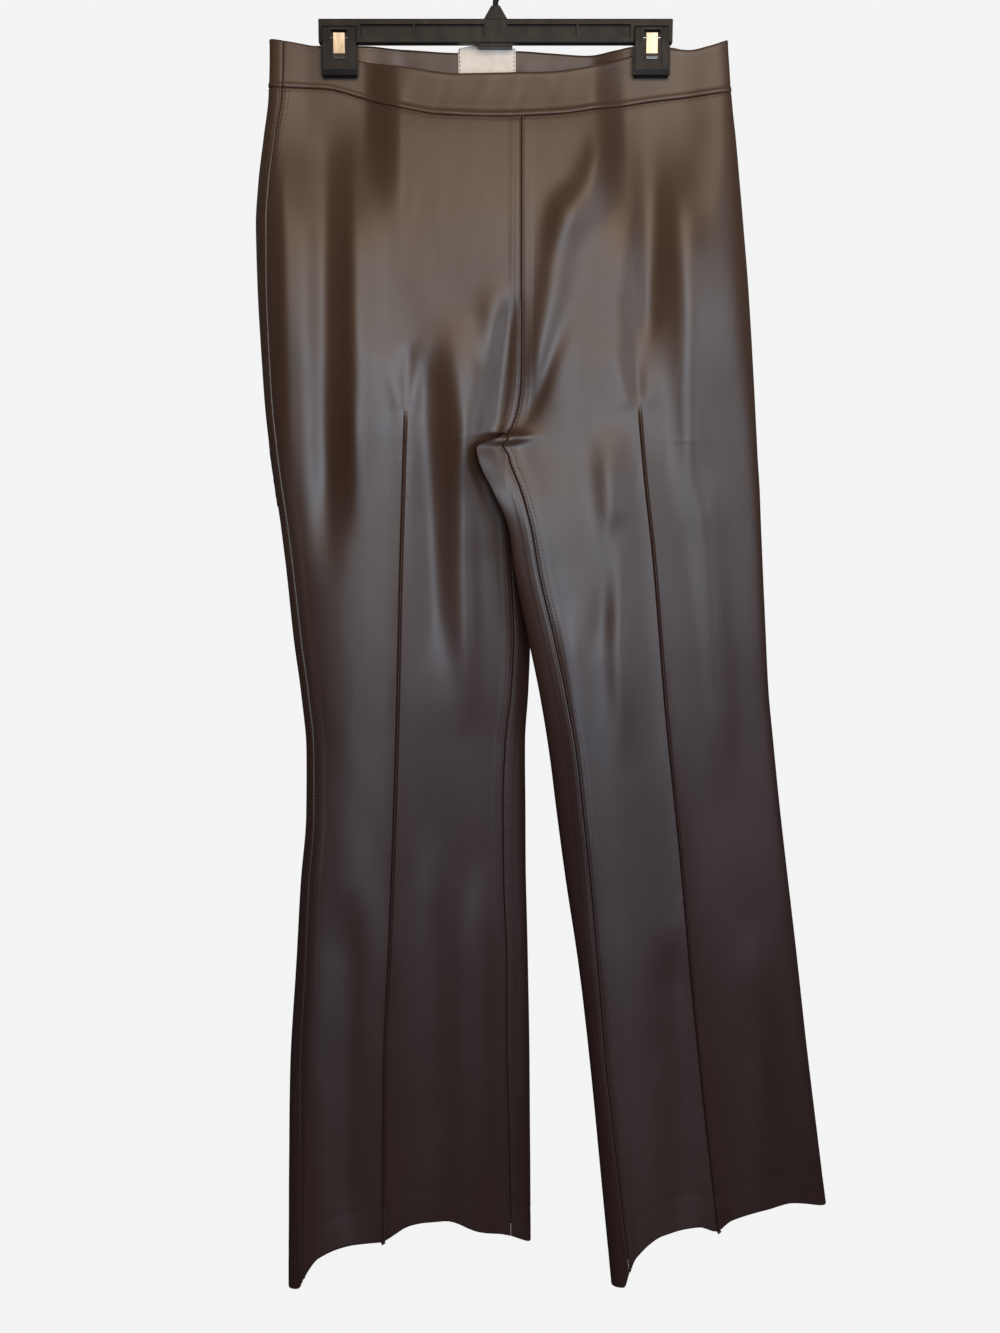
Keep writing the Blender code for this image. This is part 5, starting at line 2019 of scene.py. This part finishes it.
def cleaned(mesh: bpy.types.Mesh) -> None:
    """Merges doubles, turns the faces outwards and shades them smooth.

    Args:
        mesh: the mesh to change.
    """
    bm = bmesh.new()
    bm.from_mesh(mesh)
    bmesh.ops.remove_doubles(bm, verts=bm.verts, dist=0.00001)
    bmesh.ops.recalc_face_normals(bm, faces=bm.faces)
    for face in bm.faces:
        face.smooth = True
    bm.to_mesh(mesh)
    bm.free()


# ---------------------------------------------------------------------------------------------------
# The studio
# ---------------------------------------------------------------------------------------------------


@dataclass(frozen=True)
class SoftLight:
    """A large soft light that faces a point of the trousers."""

    name: str
    place: tuple[float, float, float]
    target: tuple[float, float, float]
    size: tuple[float, float]
    power: float
    colour: tuple[float, float, float]

    def lit(self) -> None:
        """Puts the light in the scene."""
        data = bpy.data.lights.new(self.name, "AREA")
        data.shape = "RECTANGLE"
        data.size, data.size_y = self.size
        data.energy = self.power
        data.color = self.colour
        lamp = in_scene(self.name, data)
        lamp.location = self.place
        toward = [end - start for start, end in zip(self.place, self.target)]
        lamp.rotation_mode = "QUATERNION"
        lamp.rotation_quaternion = Vector(toward).to_track_quat("-Z", "Y")


@dataclass(frozen=True)
class Studio:
    """A pale room with soft lights, a floor under the hems and the camera in front."""

    backdrop: Colour = (0.90, 0.90, 0.905, 1.0)
    above: Colour = (0.20, 0.18, 0.17, 1.0)
    below: Colour = (0.05, 0.042, 0.045, 1.0)
    floor_colour: Colour = (0.85, 0.85, 0.86, 1.0)
    floor_z: float = -1.52
    floor_reach: tuple[float, float, float] = (1.1, -1.2, 0.33)
    eye: tuple[float, float, float] = (0.0038, -1.42, -0.4171)
    tilt_deg: float = 90 - 8.53
    lens: float = 42.62
    shift: float = 0.0019
    lights: tuple[SoftLight, ...] = (
        SoftLight("warm_front", (0.35, -2.2, 0.5), (0, 0, -0.1), (1.8, 1.0), 25.0, (1.0, 0.77, 0.54)),
        SoftLight("cool_window", (0.42, -2.3, -0.5), (0, 0, -0.5), (0.8, 0.75), 21.0, (0.70, 0.83, 1.0)),
        SoftLight("cool_side", (1.75, -1.7, -0.4), (0, 0, -0.5), (0.8, 0.8), 13.0, (0.72, 0.84, 1.0)),
        SoftLight("behind", (0.0, 1.8, 0.6), (0, 0, -0.5), (1.4, 1.4), 14.0, (0.95, 0.97, 1.0)),
    )

    def world(self) -> None:
        """Lights the room, pale to look at and darker to light with."""
        world = bpy.data.worlds.new("studio")
        bpy.context.scene.world = world
        world.use_nodes = True
        nodes = Nodes(world.node_tree)
        world.node_tree.nodes.clear()
        z = nodes.add("ShaderNodeSeparateXYZ", {"Vector": nodes.place("Generated")}).outputs["Z"]
        rise = nodes.spread(z, (-0.25, 0.35), interpolation_type="SMOOTHSTEP")
        lit = nodes.add("ShaderNodeBackground", {"Color": nodes.mixed(rise, self.below, self.above)})
        seen = nodes.add("ShaderNodeBackground", {"Color": self.backdrop})
        to_camera = nodes.add("ShaderNodeLightPath").outputs["Is Camera Ray"]
        mix = nodes.add("ShaderNodeMixShader", {"Fac": to_camera})
        nodes.feed(mix.inputs[1], lit.outputs["Background"])
        nodes.feed(mix.inputs[2], seen.outputs["Background"])
        nodes.add("ShaderNodeOutputWorld", {"Surface": mix.outputs["Shader"]})

    def floor(self) -> None:
        """A plain pale floor under the hanging trousers."""
        bm = bmesh.new()
        half, front, back = self.floor_reach
        for x, y in ((-half, front), (half, front), (half, back), (-half, back)):
            bm.verts.new((x, y, self.floor_z))
        bm.faces.new(bm.verts[:])
        mesh = bpy.data.meshes.new("floor")
        bm.to_mesh(mesh)
        bm.free()
        look = {"Base Color": self.floor_colour, "Roughness": 0.7}
        mesh.materials.append(finished("pale_floor", lambda _: look))
        obj = in_scene("floor", mesh)
        obj.visible_glossy = False
        obj.visible_diffuse = False

    def camera(self) -> None:
        """The camera, level with the thighs and tilted a little down."""
        data = bpy.data.cameras.new("camera")
        data.sensor_width = 36.0
        data.lens = self.lens
        data.shift_y = self.shift
        obj = in_scene("camera", data)
        obj.location = self.eye
        obj.rotation_euler = (math.radians(self.tilt_deg), 0.0, 0.0)
        bpy.context.scene.camera = obj

    def build(self) -> None:
        """Sets up the room, the lights, the floor and the camera."""
        self.camera()
        self.world()
        self.floor()
        for light in self.lights:
            light.lit()
        bpy.context.scene.view_settings.view_transform = "Standard"


def main() -> None:
    """Loads the frame and builds everything around it."""
    logging.basicConfig(level=logging.INFO, format="%(name)s: %(message)s")
    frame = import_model()
    Studio().build()
    wardrobe = Wardrobe.filled()
    Trousers().build(wardrobe)
    Hanger().build(frame, wardrobe)


if __name__ == "__main__":
    main()
